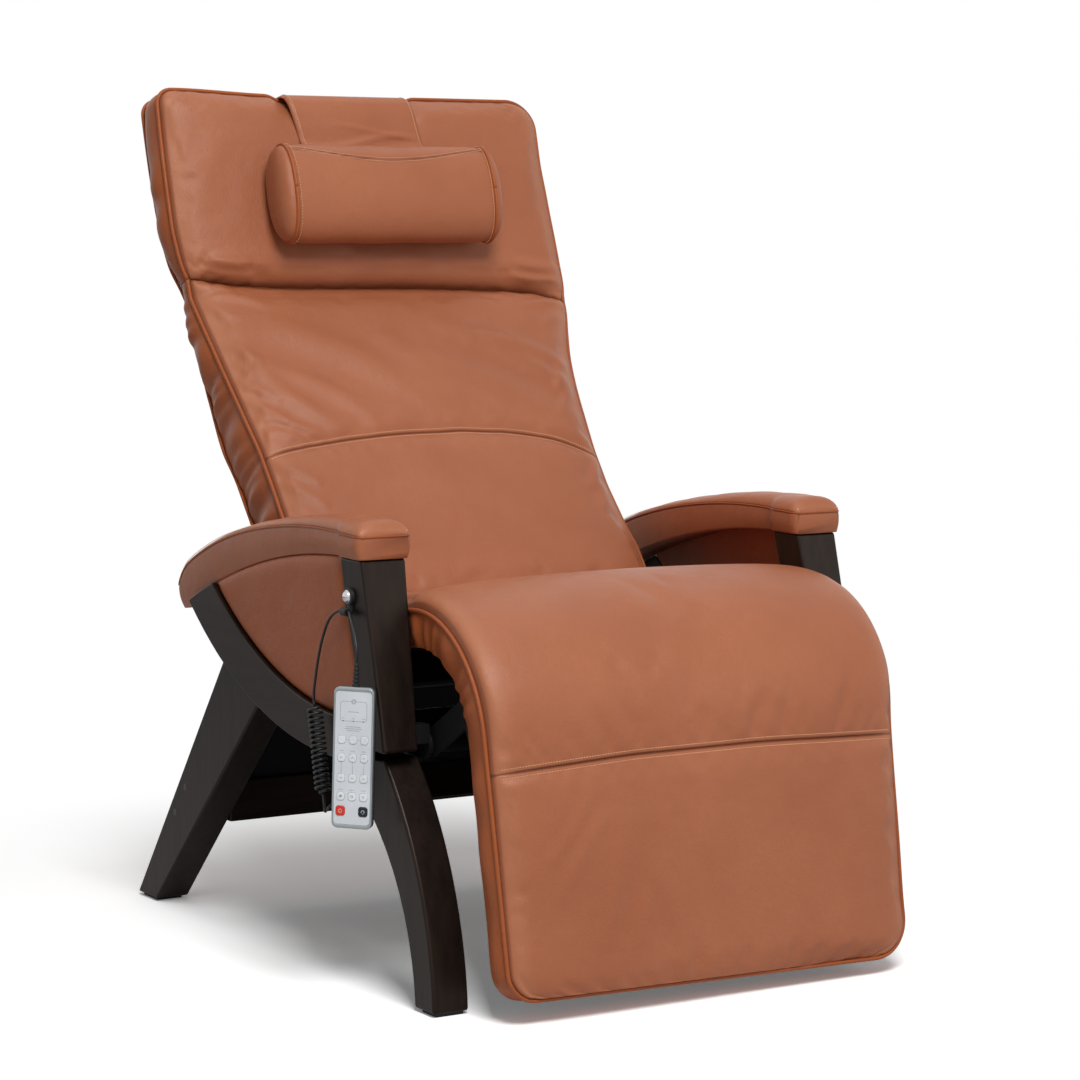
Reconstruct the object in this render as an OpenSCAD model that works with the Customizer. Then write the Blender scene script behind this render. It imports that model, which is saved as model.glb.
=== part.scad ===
// Zero-gravity massage recliner: wooden A-frame base, tilting seat with arms,
// reclining back, lifting legrest and a wired handset.
// Millimetres. +Z is up and the sitter faces -Y, so the sitter's left is +X.
// Outlines are written in the side plane as [y, z]; y = 0 is the front face of the arm pads
// and depth_mid moves the whole chair so that the origin is on the floor at mid-depth.

/* [Arms] */
// Width over the outer faces of the two arm pads
arm_span = 740; // [720:2:800]
// Width of the front block of an arm pad
arm_pad_w = 72; // [66:1:84]
// Width of an arm pad behind its front block
arm_pad_rear_w = 58; // [48:1:64]
// Height of the sewn side of an arm pad at its front
arm_pad_side = 28; // [22:1:34]
// Rise of an arm pad's crown above its side seam, at the front
arm_pad_crown = 19; // [10:1:24]
// Width of an arm post across its front, at the top
post_w = 64; // [56:1:66]
// How much narrower the post is at its foot
post_taper = 16; // [8:1:20]
// Thickness of the curved arm rail
rail_t = 11; // [8:1:14]
// Thickness of the upholstered side panel
panel_t = 5; // [3:0.5:7]

/* [Seat and legrest] */
// Half width of the pads at the knee
pad_half_w = 298; // [290:1:299]
// Half width of the seat pad between the side plates
seat_half_w = 284; // [260:1:288]
// Depth of the sewn side below the piping
pad_t = 46; // [36:1:50]
// Height of the rounded edge above the piping
pad_edge = 24; // [14:1:28]
// Further rise of the crown at the middle
pad_crown = 8; // [2:1:12]
// Radius of the piping round the knee
knee_r = 168; // [164:1:172]
// Radius of the legrest's lower corners
pad_corner = 40; // [10:1:60]
// Length of the legrest below the knee
leg_len = 330; // [250:5:335]
// How far the sides of the pads are drawn in at mid-height
draw_in = 4; // [1:0.5:8]

/* [Back] */
// Length of the back pad from its hinge to the head fold
back_len = 523; // [480:1:560]
// Length of the head pad
head_len = 301; // [260:1:330]
// Depth of the back pad's sewn side
back_t = 46; // [40:1:50]
// Height of the back pad's rounded edge above its piping
back_edge = 22; // [14:1:26]
// Depth of the shell behind the pads
shell_d = 30; // [26:1:36]
// Length of the head pillow
pillow_len = 364; // [300:2:420]
// Height of the head pillow
pillow_h = 146; // [110:1:156]
// Depth of the head pillow
pillow_d = 76; // [60:1:90]
// Width of the pillow strap
strap_w = 205; // [120:1:260]
// Thickness of the pillow strap
strap_t = 3; // [2:0.5:4]

/* [Base] */
// Thickness of the base legs
leg_t = 50; // [42:1:52]
// Height of a floor glide
glide_h = 4; // [3:0.5:8]
// Height of the rear beam
beam_h = 58; // [50:1:66]
// Thickness of the rear beam
beam_t = 24; // [18:1:30]

/* [Frames and drives] */
// Thickness of the steel side plates
plate_t = 6; // [4:0.5:7]
// Diameter of the frame tubes
tube_d = 20; // [16:1:22]
// Diameter of the tilt pins
tilt_pin_d = 18; // [14:1:22]
// Diameter of the back and knee hinge pins
hinge_pin_d = 16; // [12:1:18]
// Radial clearance of the pins in their bores
pin_gap = 0.08; // [0.05:0.01:0.1]
// Diameter of the crank pins that the drives push
crank_pin_d = 12; // [8:1:14]
// Clearance of a crank pin in its drive fork
fork_gap = 0.9; // [0.7:0.1:1.5]
// Width of a drive rail
drive_w = 26; // [22:1:30]
// Height of a drive rail
drive_h = 15; // [12:1:15]
// Diameter of a drive motor
motor_d = 44; // [36:1:48]

/* [Handset and cord] */
// Width of the handset
handset_w = 52; // [50:1:60]
// Height of the handset
handset_h = 177; // [172:1:190]
// Depth of the handset
handset_d = 16; // [14:1:18]
// Width of the silver bezel
bezel_w = 2.6; // [2:0.2:4]
// Width of a key
key_w = 9.6; // [8:0.2:11]
// Width of the two large keys
big_key_w = 11.6; // [10:0.2:12.4]
// Distance between the key columns
key_pitch = 14.6; // [13:0.1:15.4]
// How far a key stands proud of the face
key_proud = 0.9; // [0.5:0.1:1.5]
// Travel of a key
key_travel = 0.8; // [0.5:0.1:1]
// Diameter of the handset cord
cord_d = 3.6; // [3:0.1:4]
// Outer diameter of the curly cord
coil_d = 21; // [18:0.5:24]
// Number of curls
coil_turns = 17; // [10:1:17]

/* [Hidden] */
$fn = 48;

// Distance from the arm pads' front face to the middle of the chair's depth
depth_mid = 257;
// Clearance between soft pads and their supports in one body
seat_gap = 0.3;
// Clearance between a pad and what moves past it
sweep_gap = 1.5;
// Clearance under the arm pads, whose undersides bridge their arc in straight steps
pad_seat_gap = 0.8;
// Clearance between flat pieces that lie side by side
side_gap = 2;

wood = [0.11, 0.09, 0.085];
leather = [0.66, 0.38, 0.24];
steel = [0.16, 0.16, 0.17];
black = [0.07, 0.07, 0.075];
silver = [0.72, 0.74, 0.76];

// ---------- helpers in the side plane ----------
function dir2(a) = [cos(a), sin(a)];
// Point at distance s along direction a from p, and n to its left
function along(p, a, s, n = 0) = p + s * dir2(a) + n * dir2(a + 90);
function lift(p, x) = [x, p[0], p[1]];
function circle_z(c, r, y, up = 1) = c[1] + up * sqrt(r * r - (y - c[0]) * (y - c[0]));
// Points on the circle round c, from angle a0 to a1
function arc_pts(c, r, a0, a1, n) = [for (i = [0:n]) c + r * dir2(a0 + (a1 - a0) * i / n)];
function polar(c, p) = atan2(p[1] - c[1], p[0] - c[0]);
// Centre of the circle through three points
function centre3(a, b, c) =
    let (
        d = 2 * (a[0] * (b[1] - c[1]) + b[0] * (c[1] - a[1]) + c[0] * (a[1] - b[1])),
        aa = a * a, bb = b * b, cc = c * c
    )
    [(aa * (b[1] - c[1]) + bb * (c[1] - a[1]) + cc * (a[1] - b[1])) / d,
        (aa * (c[0] - b[0]) + bb * (a[0] - c[0]) + cc * (b[0] - a[0])) / d];
// Points on the arc from a through b to c
function arc3(a, b, c, n) =
    let (o = centre3(a, b, c), a0 = polar(o, a), a1 = polar(o, c))
    arc_pts(o, norm(a - o), a0, a1, n);

module at_origin() { translate([0, -depth_mid, 0]) children(); }
// Side-plane outline given thickness from x0 to x1
module slab(x0, x1) {
    translate([x0, 0, 0]) rotate([90, 0, 90]) linear_extrude(x1 - x0) children();
}
module rod(p, d, x0, x1) {
    translate([x0, p[0], p[1]]) rotate([0, 90, 0]) cylinder(d = d, h = x1 - x0);
}
// Straight tube between two points of a plane x = const
module strut_rod(x, p, q, d) {
    v = q - p;
    translate([x, p[0], p[1]]) rotate([90 - atan2(v[1], v[0]) - 180, 0, 0]) mirror([0, 0, 1])
        mirror([0, 0, 0]) cylinder(d = d, h = norm(v));
}
module strut2(p, q, w) {
    v = q - p;
    translate(p) rotate(atan2(v[1], v[0])) translate([0, -w / 2]) square([norm(v), w]);
    translate(p) circle(d = w + 0.2);
    translate(q) circle(d = w + 0.2);
}
module both() { children(); mirror([1, 0, 0]) children(); }
module side_of(left) { if (left) children(); else mirror([1, 0, 0]) children(); }
module round_rect(w, h, r) {
    square([w - 2 * r, h], center = true);
    square([w, h - 2 * r], center = true);
    for (i = [-1, 1], j = [-1, 1]) translate([i * (w / 2 - r), j * (h / 2 - r)]) circle(r = r);
}

// ---------- widths from the middle plane ----------
arm_out = arm_span / 2;
arm_mid = arm_out - arm_pad_w / 2;
post_out = arm_out - 4;
post_in = post_out - post_w;
rail_out = post_out + 1;
rail_in = rail_out - rail_t;
panel_out = rail_in + panel_t;
base_out = rail_in - side_gap;
base_in = base_out - leg_t;
seat_plate_out = base_in - 7;
seat_plate_in = seat_plate_out - plate_t;
hinge_plate_out = seat_plate_in - 4;
hinge_plate_in = hinge_plate_out - plate_t;

// ---------- side-plane outlines ----------
knee = [-29, 316];
seat_slope = 9;
leg_hang = 10.5;
tilt_axis = [230, 360];
back_angle = 50.5;
head_angle = 75.3;
back_root = [310, 456];
head_fold = along(back_root, back_angle, back_len);
fold_angle = (back_angle + head_angle) / 2;
back_rise = back_edge + pad_crown;
back_mid_n = (back_rise - back_t) / 2;
hip_r = (back_rise + back_t) / 2;
hinge_axis = along(back_root, back_angle, 0, back_mid_n);

rail_low_c = [76, 946];
rail_low_r = 655;
rail_top_c = [42, 966];
rail_top_r = 622;
pad_low_r = 1117;
post_top_z = 549;
pad_low_c = [45, post_top_z + 1 - pad_low_r];

post_foot_z = 312;
post_front_top = [3, post_top_z];
post_front_foot = [-57, post_foot_z];
post_rear_top = [60, post_top_z];
post_rear_mid = [17, 400];
post_rear_foot = [-17, post_foot_z];

leg_front_c = [323, -21];
leg_front_r = 480;
leg_rear_c = [214, -17];
leg_rear_r = 322;
leg_top_z = 302;
leg_split_y = 188;
rear_leg_foot = [652, 716];
rear_leg_front = [321, 323];
rear_leg_back = [424, 374];
beam_front_y = 508;
beam_low_z = 133;
stretcher_y = 4;
stretcher_z = 240;
stretcher_h = 46;
stretcher_t = 22;

// ---------- cushions ----------
crown_u = [-1, -0.985, -0.95, -0.88, -0.75, -0.5, 0, 0.5, 0.75, 0.88, 0.95, 0.985, 1];
function dome(u, edge, crown) = edge * pow(1 - pow(abs(u), 6), 1 / 4) + crown * (1 - u * u);
function ring(o, a, sec) =
    [for (p = sec) lift(o + p[1] * dir2(a + 90), p[0])];
// Cross-section of a pad: crown from left to right, then side, underside and side
function pad_section(w, edge, crown, t, f = 1, k = 1, mid = 0) = concat(
    [for (u = crown_u) [u * w, mid + (dome(u, edge, crown) * f - mid) * k]],
    [for (p = [[w - draw_in, -t / 2], [w - 3, -t], [3 - w, -t], [draw_in - w, -t / 2]])
        [p[0], mid + (p[1] - mid) * k]]
);
function middle(pts) = [for (i = [0:2]) [for (p = pts) p[i]] * [for (p = pts) 1] / len(pts)];
// Closed skin over rings that have equally many points
module skin(rings) {
    m = len(rings[0]);
    k = len(rings);
    points = concat([for (r = rings) each r], [middle(rings[0]), middle(rings[k - 1])]);
    sides = [for (i = [0:k - 2], j = [0:m - 1])
        let (a = i * m + j, b = i * m + (j + 1) % m) each [[a, a + m, b + m], [a, b + m, b]]];
    first = [for (j = [0:m - 1]) [k * m, j, (j + 1) % m]];
    last = [for (j = [0:m - 1]) [k * m + 1, (k - 1) * m + (j + 1) % m, (k - 1) * m + j]];
    polyhedron(points, concat(sides, first, last));
}
// Rounding of a pad towards an end: 0.35 at the end, 1 from reach onwards
function end_round(d, reach) = d >= reach ? 1 : 0.35 + 0.65 * sqrt(1 - pow(1 - d / reach, 2));
// A sewn channel 9 mm to each side of a seam
function channel(d, seam) = abs(d - seam) < 1 ? 0.86 : 1;

// How far a rounded corner of radius r draws in at distance d from the end
function corner_in(d, r) = d >= r ? 0 : r - sqrt(r * r - (r - d) * (r - d));
seam_to_bottom = 286;
leg_tangent = knee + knee_r * dir2(180 - leg_hang);
seat_tangent = knee + knee_r * dir2(90 - seat_slope);
// The knee roll reaches this far behind the tangent point of the seat
roll_back = 34;
roll_end_angle = 90 - seat_slope - 9.6;
seat_pad_len = (hinge_axis - seat_tangent) * dir2(-seat_slope) - hip_r - sweep_gap;
seat_start = 36;

module leg_cushion() {
    a = 90 - leg_hang;
    bottom = along(leg_tangent, a, -leg_len);
    straight = [0, 3, 9, 20, 38, 90, 150, 210, 250, 277, 286, 295, 315];
    share = leg_len / 330;
    rings = concat(
        [for (d = straight)
            ring(along(bottom, a, d * share), a,
                pad_section(pad_half_w - corner_in(d, pad_corner), pad_edge, pad_crown, pad_t,
                    f = (0.66 + 0.34 * min(1, d / 250)) * end_round(d, 24)
                        * channel(d, seam_to_bottom)))],
        [for (i = [0:11])
            let (phi = 180 - leg_hang + (roll_end_angle - 180 + leg_hang) * i / 11)
            ring(knee + knee_r * dir2(phi), phi - 90,
                pad_section(pad_half_w, pad_edge, pad_crown, pad_t))]
    );
    color(leather) at_origin() skin(rings);
}

// Height of the roll's surface plus clearance, above the piping line of the seat
function roll_n(x, t) =
    let (r = knee_r + dome(x / pad_half_w, pad_edge, pad_crown) + sweep_gap + 0.7)
    r <= t ? -pad_t : max(-pad_t, sqrt(r * r - t * t) - knee_r);
function seat_width(t) = lookup(t, [[108, pad_half_w], [162, seat_half_w]]);
function seat_section(t) =
    let (
        w = seat_width(t),
        f = 1 - 0.25 * pow(max(0, t - seat_pad_len + 26) / 26, 2),
        top = [for (u = crown_u) [u * w, f * dome(u, pad_edge, pad_crown)]],
        low = [for (i = [12:-1:0]) [crown_u[i] * w, roll_n(crown_u[i] * w, t)]],
        side_n = (low[0][1] + 0) / 2,
        side_x = w - draw_in * min(1, -low[0][1] / pad_t)
    )
    concat(top, [[side_x, side_n]], low, [[-side_x, side_n]]);
module seat_cushion() {
    stations = [seat_start, 50, 65, 80, 95, 110, 125, 140, 155, 172, 200, 230,
        seat_pad_len - 24, seat_pad_len - 9, seat_pad_len];
    color(leather) at_origin()
        skin([for (t = stations) ring(along(seat_tangent, -seat_slope, t), -seat_slope,
            seat_section(t))]);
}

function back_width(s) = lookup(s, [[-40, 262], [0, 267], [65, 270], [120, 265], [180, 264],
    [261, 266], [340, 276], [390, 284], [440, 298], [480, 304], [517, 298], [523, 292]]);
function head_width(s) = lookup(s, [[0, 296], [20, 312], [60, 314], [150, 314], [240, 313],
    [270, 308], [289, 296], [298, 282], [301, 272]]);
lumbar_seam = 261;
module back_cushion() {
    round_end = [for (i = [0:4]) -hip_r * cos(i * 22.5 * 0.96 + 3.6)];
    straight = [50, 110, 170, 225, 252, lumbar_seam, 270, 320, 380, 440, 480, 505, 516];
    share = back_len / 523;
    rings = concat(
        [for (s = round_end)
            ring(along(back_root, back_angle, s), back_angle,
                pad_section(back_width(s), back_edge, pad_crown, back_t,
                    k = sqrt(max(0, 1 - pow(s / hip_r, 2))), mid = back_mid_n))],
        [for (s = straight)
            ring(along(back_root, back_angle, s * share), back_angle,
                pad_section(back_width(s), back_edge, pad_crown, back_t,
                    f = end_round(523 - s, 30) * channel(s, lumbar_seam)))],
        [ring(along(head_fold, back_angle, -0.3), fold_angle,
            pad_section(back_width(523), back_edge, pad_crown, back_t, f = 0.35))]
    );
    color(leather) at_origin() skin(rings);
}
module head_cushion() {
    stations = [8, 20, 36, 70, 120, 180, 240, 270, 289, 298, 301];
    share = head_len / 301;
    rings = concat(
        [ring(along(head_fold, head_angle, 0.3), fold_angle,
            pad_section(head_width(0), back_edge, pad_crown, back_t, f = 0.35))],
        [for (s = stations)
            ring(along(head_fold, head_angle, s * share), head_angle,
                pad_section(head_width(s), back_edge, pad_crown, back_t - 4 * min(1, s / 60),
                    f = end_round(s, 30) * end_round(301 - s, 20)))]
    );
    color(leather) at_origin() skin(rings);
}

// Oval bolster across the head pad
pillow_s = 137;
module pillow() {
    back_n = back_rise + seat_gap;
    stations = [[-1, 0.72], [-0.985, 0.86], [-0.94, 0.95], [-0.8, 1], [-0.4, 1.03], [0, 1.04],
        [0.4, 1.03], [0.8, 1], [0.94, 0.95], [0.985, 0.86], [1, 0.72]];
    rings = [for (q = stations)
        [for (i = [0:15])
            let (
                a = -i * 22.5,
                s = pillow_s + pillow_h / 2 / 1.04 * q[1] * sin(a),
                n = back_n + pillow_d / 2 + pillow_d / 2 / 1.04 * q[1] * cos(a)
            )
            lift(along(head_fold, head_angle, s, n), q[0] * pillow_len / 2)]];
    color(leather) at_origin() mirror([1, 0, 0]) skin(rings);
}

// Strip of the strap's thickness along points given as [s, n] on the head pad
module head_strip(pts, t) {
    a = [for (p = pts) along(head_fold, head_angle, p[0], p[1])];
    for (i = [0:len(a) - 2]) strut2(a[i], a[i + 1], t);
}
strap_n = back_rise + strap_t / 2 + 0.5;
flip_axis = along(head_fold, head_angle, head_len - 2, back_rise * 0.82);
module pillow_strap() {
    top = head_len - 4;
    color(leather) at_origin() slab(-strap_w / 2, strap_w / 2)
        head_strip([[pillow_s + pillow_h * 0.4, back_rise + pillow_d * 0.26],
            [pillow_s + pillow_h / 2 + 10, strap_n + 1], [top - 18, strap_n],
            [top, strap_n - 3]], strap_t);
}
shell_head_n = -(back_t - 4) - 24;
module strap_tail() {
    over = head_len + strap_t / 2 + 0.5;
    rear = shell_head_n - strap_t / 2 - 0.4;
    color(leather) at_origin() slab(-strap_w / 2, strap_w / 2) {
        head_strip([[head_len - 1, back_rise - 10], [over, back_rise - 18], [over, rear],
            [head_len - 90, rear]], strap_t);
        head_strip([[head_len - 84, rear - 4.2], [head_len - 130, rear - 4.2]], strap_t + 8);
    }
}

// ---------- back ----------
// Plate outline in [x, s] on a pad's plane, given thickness below it
module on_plane(o, a) {
    translate(lift(o, 0)) rotate([a, 0, 0]) translate([0, 0, -160]) linear_extrude(200)
        children();
}
shell_low = 62;
shell_deep_n = -back_t - shell_d - 18;
shell_fold_n = -back_t - shell_d;
module shell_mid_outline(w, a, b) {
    polygon([[w - 262, a], [262 - w, a], [262 - w, 180], [258 - w, 400], [245 - w, b],
        [w - 245, b], [w - 258, 400], [w - 262, 180]]);
}
module shell_head_outline(w, a, b) {
    polygon([[w - 250, a], [250 - w, a], [282 - w, 70], [296 - w, 160], [296 - w, b - 20],
        [270 - w, b], [w - 270, b], [w - 296, b - 20], [w - 296, 160], [w - 282, 70]]);
}
module back_shell() {
    wall = 4;
    top = head_len - 3;
    mid = [along(back_root, back_angle, shell_low, -back_t - seat_gap),
        along(head_fold, fold_angle, 0, -back_t * 1.02 - seat_gap),
        along(head_fold, fold_angle, 0, shell_fold_n * 1.02),
        along(back_root, back_angle, 400, shell_fold_n),
        along(back_root, back_angle, 240, shell_deep_n),
        along(back_root, back_angle, shell_low, shell_deep_n)];
    mid_in = [along(back_root, back_angle, shell_low + wall, -back_t + 1),
        along(head_fold, back_angle, -6 - wall, -back_t + 1),
        along(head_fold, back_angle, -22 - wall, shell_fold_n + wall),
        along(back_root, back_angle, 400, shell_fold_n + wall),
        along(back_root, back_angle, 240, shell_deep_n + wall),
        along(back_root, back_angle, shell_low + wall, shell_deep_n + wall)];
    head = [along(head_fold, fold_angle, 0, -back_t * 1.02 - seat_gap),
        along(head_fold, head_angle, 8, -back_t + 0.5 - seat_gap),
        along(head_fold, head_angle, 60, -back_t + 4 - seat_gap),
        along(head_fold, head_angle, top, -back_t + 4 - seat_gap),
        along(head_fold, head_angle, top, shell_head_n),
        along(head_fold, head_angle, 40, shell_head_n),
        along(head_fold, fold_angle, 0, shell_fold_n * 1.02)];
    head_in = [along(head_fold, head_angle, 22, -back_t + 6),
        along(head_fold, head_angle, top - wall, -back_t + 6),
        along(head_fold, head_angle, top - wall, shell_head_n + wall),
        along(head_fold, head_angle, 36, shell_head_n + wall)];
    color(leather) at_origin() {
        difference() {
            union() {
                intersection() {
                    slab(-300, 300) polygon(mid);
                    on_plane(back_root, back_angle) shell_mid_outline(0, 0, back_len + 60);
                }
                intersection() {
                    slab(-320, 320) polygon(head);
                    on_plane(head_fold, head_angle) shell_head_outline(0, -40, head_len);
                }
            }
            intersection() {
                slab(-300, 300) polygon(mid_in);
                on_plane(back_root, back_angle) shell_mid_outline(wall, 0, back_len + 60);
            }
            intersection() {
                slab(-320, 320) polygon(head_in);
                on_plane(head_fold, head_angle) shell_head_outline(wall, -40, head_len);
            }
            // The side tubes enter below and pass from the mid bay into the head bay
            both() slab(back_tube_x - tube_d / 2 - 2, back_tube_x + tube_d / 2 + 2) {
                strut2(along(back_root, back_angle, shell_low - 10, back_tube_n), back_bend,
                    tube_d);
                strut2(back_bend, head_bend, tube_d);
                strut2(head_bend, along(head_fold, head_angle, 60, head_tube_n), tube_d - 3);
            }
        }
    }
}
back_tube_x = 222;
back_tube_n = -back_t - 5.5 - tube_d / 2;
head_tube_d = 14;
head_tube_n = -back_t - 0.7 - head_tube_d / 2;
back_bend = along(head_fold, fold_angle, 0, -back_t - 6 - tube_d / 2);
head_bend = along(head_fold, head_angle, 40, head_tube_n);
crank_dir = -75;
back_crank = along(hinge_axis, crank_dir, 95);
back_cross = along(back_root, back_angle, 30, back_tube_n);
module back_frame() {
    color(steel) at_origin() {
        both() {
            difference() {
                slab(hinge_plate_in, hinge_plate_out) {
                    strut2(hinge_axis, back_cross, 40);
                    strut2(hinge_axis, back_crank, 34);
                }
                rod(hinge_axis, hinge_pin_d + 2 * pin_gap, hinge_plate_in - 1, hinge_plate_out + 1);
            }
            slab(back_tube_x - tube_d / 2, back_tube_x + tube_d / 2) {
                strut2(back_cross, back_bend, tube_d - 2);
                strut2(back_bend, head_bend, head_tube_d + 2);
                strut2(head_bend, along(head_fold, head_angle, head_len - 24, head_tube_n),
                    head_tube_d);
            }
        }
        rod(back_cross, tube_d, -hinge_plate_in, hinge_plate_in);
        rod(back_crank, crank_pin_d, -hinge_plate_in, hinge_plate_in);
        for (s = [200, 400])
            rod(along(back_root, back_angle, s, back_tube_n), tube_d - 4, -back_tube_x, back_tube_x);
        rod(along(head_fold, head_angle, head_len - 30, head_tube_n), head_tube_d - 4,
            -back_tube_x, back_tube_x);
    }
}
// Four flat bladders behind the back pad
module air_cells() {
    cell_t = 6;
    color([0.2, 0.2, 0.22]) at_origin()
        for (s = [130, 300], x = [-75, 75])
            translate(lift(along(back_root, back_angle, s, -back_t - 0.4), x))
                rotate([back_angle, 0, 0]) translate([0, 0, -cell_t]) linear_extrude(cell_t)
                    round_rect(130, 110, 24);
}

// ---------- seat ----------
front_tube = [150, 318];
front_tube_d = 25;
torque_tube_d = 28;
seat_plate_mid = [165, 322];
tilt_crank_r = 70;
tilt_crank = along(tilt_axis, -81, tilt_crank_r);
knee_crank_r = 60;
knee_crank = along(knee, 117.5, knee_crank_r);
drive_x = 90;
ear_t = 5;
ear_gap = 1.4;
fork_w = drive_w - 4;
pan_t = 9;
ledge_n = -pad_t - 2 * seat_gap - pan_t - 2;
arm_fix = [440, 445];
post_fix_low = 320;
post_fix_high = 344;
function post_in_at(z) = post_in + post_taper * (post_top_z - z) / (post_top_z - post_foot_z);

module crank_ears(axis, pin, x) {
    mid = drive_w / 2 + ear_gap + ear_t / 2;
    for (i = [-1, 1]) slab(x + i * mid - ear_t / 2, x + i * mid + ear_t / 2)
        strut2(axis, pin, 26);
    rod(pin, crank_pin_d, x - mid - ear_t / 2, x + mid + ear_t / 2);
}
module seat_frame() {
    color(steel) at_origin() {
        both() {
            slab(seat_plate_in, seat_plate_out) {
                strut2(knee, seat_plate_mid, 34);
                strut2(seat_plate_mid, tilt_axis, 40);
                strut2(tilt_axis, hinge_axis, 40);
                strut2(hinge_axis, arm_fix, 26);
                strut2([184, 336], along(seat_tangent, -seat_slope, 194, ledge_n), 22);
            }
            // Ledge that the seat pan rests on
            slab(seat_plate_in - 24, seat_plate_in + 1) polygon([
                along(seat_tangent, -seat_slope, 184, ledge_n + 2),
                along(seat_tangent, -seat_slope, seat_pad_len - 10, ledge_n + 2),
                along(seat_tangent, -seat_slope, seat_pad_len - 10, ledge_n - 2),
                along(seat_tangent, -seat_slope, 184, ledge_n - 2)]);
            rod(knee, hinge_pin_d, hinge_plate_in + 1, seat_plate_out - 1);
            rod(hinge_axis, hinge_pin_d, hinge_plate_in - 2, seat_plate_out - 1);
            rod(tilt_axis, tilt_pin_d, seat_plate_out - 1, base_out + 1);
            rod(arm_fix, 22, seat_plate_out - 1, rail_in);
            // Block that carries the arm post
            translate([0, -24, 0]) rotate([90, 0, 0]) linear_extrude(22)
                polygon([[seat_plate_out - 1, post_fix_low],
                    [post_in_at(post_fix_low) - seat_gap, post_fix_low],
                    [post_in_at(post_fix_high) - seat_gap, post_fix_high],
                    [seat_plate_out - 1, post_fix_high]]);
        }
        rod(front_tube, front_tube_d, -seat_plate_in - 1, seat_plate_in + 1);
        rod(tilt_axis, torque_tube_d, -seat_plate_in - 1, seat_plate_in + 1);
        crank_ears(tilt_axis, tilt_crank, 0);
    }
}
module seat_pan() {
    color([0.45, 0.33, 0.22]) at_origin()
        slab(-seat_plate_in + 0.5, seat_plate_in - 0.5) polygon([
            along(seat_tangent, -seat_slope, 176, -pad_t - seat_gap),
            along(seat_tangent, -seat_slope, seat_pad_len - 3, -pad_t - seat_gap),
            along(seat_tangent, -seat_slope, seat_pad_len - 3, -pad_t - seat_gap - pan_t),
            along(seat_tangent, -seat_slope, 176, -pad_t - seat_gap - pan_t)]);
}

// ---------- legrest ----------
leg_rail_x = 236;
leg_tube_n = -pad_t - seat_gap - 9;
module leg_frame() {
    a = 90 - leg_hang;
    top = along(leg_tangent, a, -20, leg_tube_n);
    bottom = along(leg_tangent, a, 46 - leg_len, leg_tube_n);
    color(steel) at_origin() {
        both() {
            difference() {
                slab(hinge_plate_in, hinge_plate_out) {
                    strut2(knee, knee + 102 * dir2(150), 34);
                    strut2(knee + 102 * dir2(150), top, 17.4);
                }
                rod(knee, hinge_pin_d + 2 * pin_gap, hinge_plate_in - 1, hinge_plate_out + 1);
            }
            slab(leg_rail_x - 9, leg_rail_x + 9) strut2(top, bottom, 17);
        }
        rod(knee, tube_d + 4, -hinge_plate_in, hinge_plate_in);
        rod(top, 15, -hinge_plate_in - 1, hinge_plate_in + 1);
        rod(bottom, 15, -leg_rail_x, leg_rail_x);
        rod(knee + 102 * dir2(150), tube_d, -hinge_plate_in - 1, hinge_plate_in + 1);
        crank_ears(knee, knee_crank, -drive_x);
    }
}

// ---------- drives ----------
// Straight rail along the depth with a tubular motor on its underside
module drive_rail(x, y0, y1, top_z, motor_y0, motor_len) {
    translate([x - drive_w / 2, y0, top_z - drive_h]) cube([drive_w, y1 - y0, drive_h]);
    translate([x, motor_y0, top_z - drive_h - motor_d / 2]) rotate([-90, 0, 0])
        cylinder(d = motor_d, h = motor_len);
    translate([x - 8, motor_y0 + 4, top_z - drive_h - motor_d / 2])
        cube([16, motor_len - 8, motor_d / 2 + 1]);
}
// Block that runs along a rail and takes a crank pin in its upright fork
module drive_fork(x, pin, rail_z) {
    cheek = 7;
    slot = crank_pin_d + 2 * fork_gap;
    base_h = pin[1] - crank_pin_d / 2 - 8 - rail_z - seat_gap;
    translate([x - fork_w / 2, pin[0] - slot / 2 - cheek, rail_z + seat_gap])
        difference() {
            cube([fork_w, slot + 2 * cheek, pin[1] + 8 - rail_z - seat_gap]);
            translate([-1, cheek, base_h]) cube([fork_w + 2, slot, 60]);
        }
}
leg_motor_d = 40;
leg_motor_len = 72;
tilt_rail_z = tilt_crank[1] - 30;
back_rail_z = back_crank[1] - 32;
leg_rail_z = knee_crank[1] - 24;
beam_top_z = beam_low_z + beam_h;
module tilt_drive() {
    color(black) at_origin() {
        drive_rail(0, 196, beam_front_y + beam_t, tilt_rail_z, 380, 110);
        // Bracket on the rear beam
        translate([-drive_w / 2, beam_front_y + 4, beam_top_z])
            cube([drive_w, beam_t - 6, tilt_rail_z - drive_h - beam_top_z]);
    }
}
module tilt_carriage() { color(silver) at_origin() drive_fork(0, tilt_crank, tilt_rail_z); }
module back_drive() {
    color(black) at_origin() {
        drive_rail(drive_x, front_tube[0] + front_tube_d / 2, 372, back_rail_z, 166, 100);
        // Hanger from the torque tube
        translate([drive_x - drive_w / 2, tilt_axis[0] - 6, back_rail_z - 1])
            cube([drive_w, 12, tilt_axis[1] - torque_tube_d / 2 - back_rail_z + 1.4]);
    }
}
module back_carriage() {
    color(silver) at_origin() drive_fork(drive_x, back_crank, back_rail_z);
}
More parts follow.
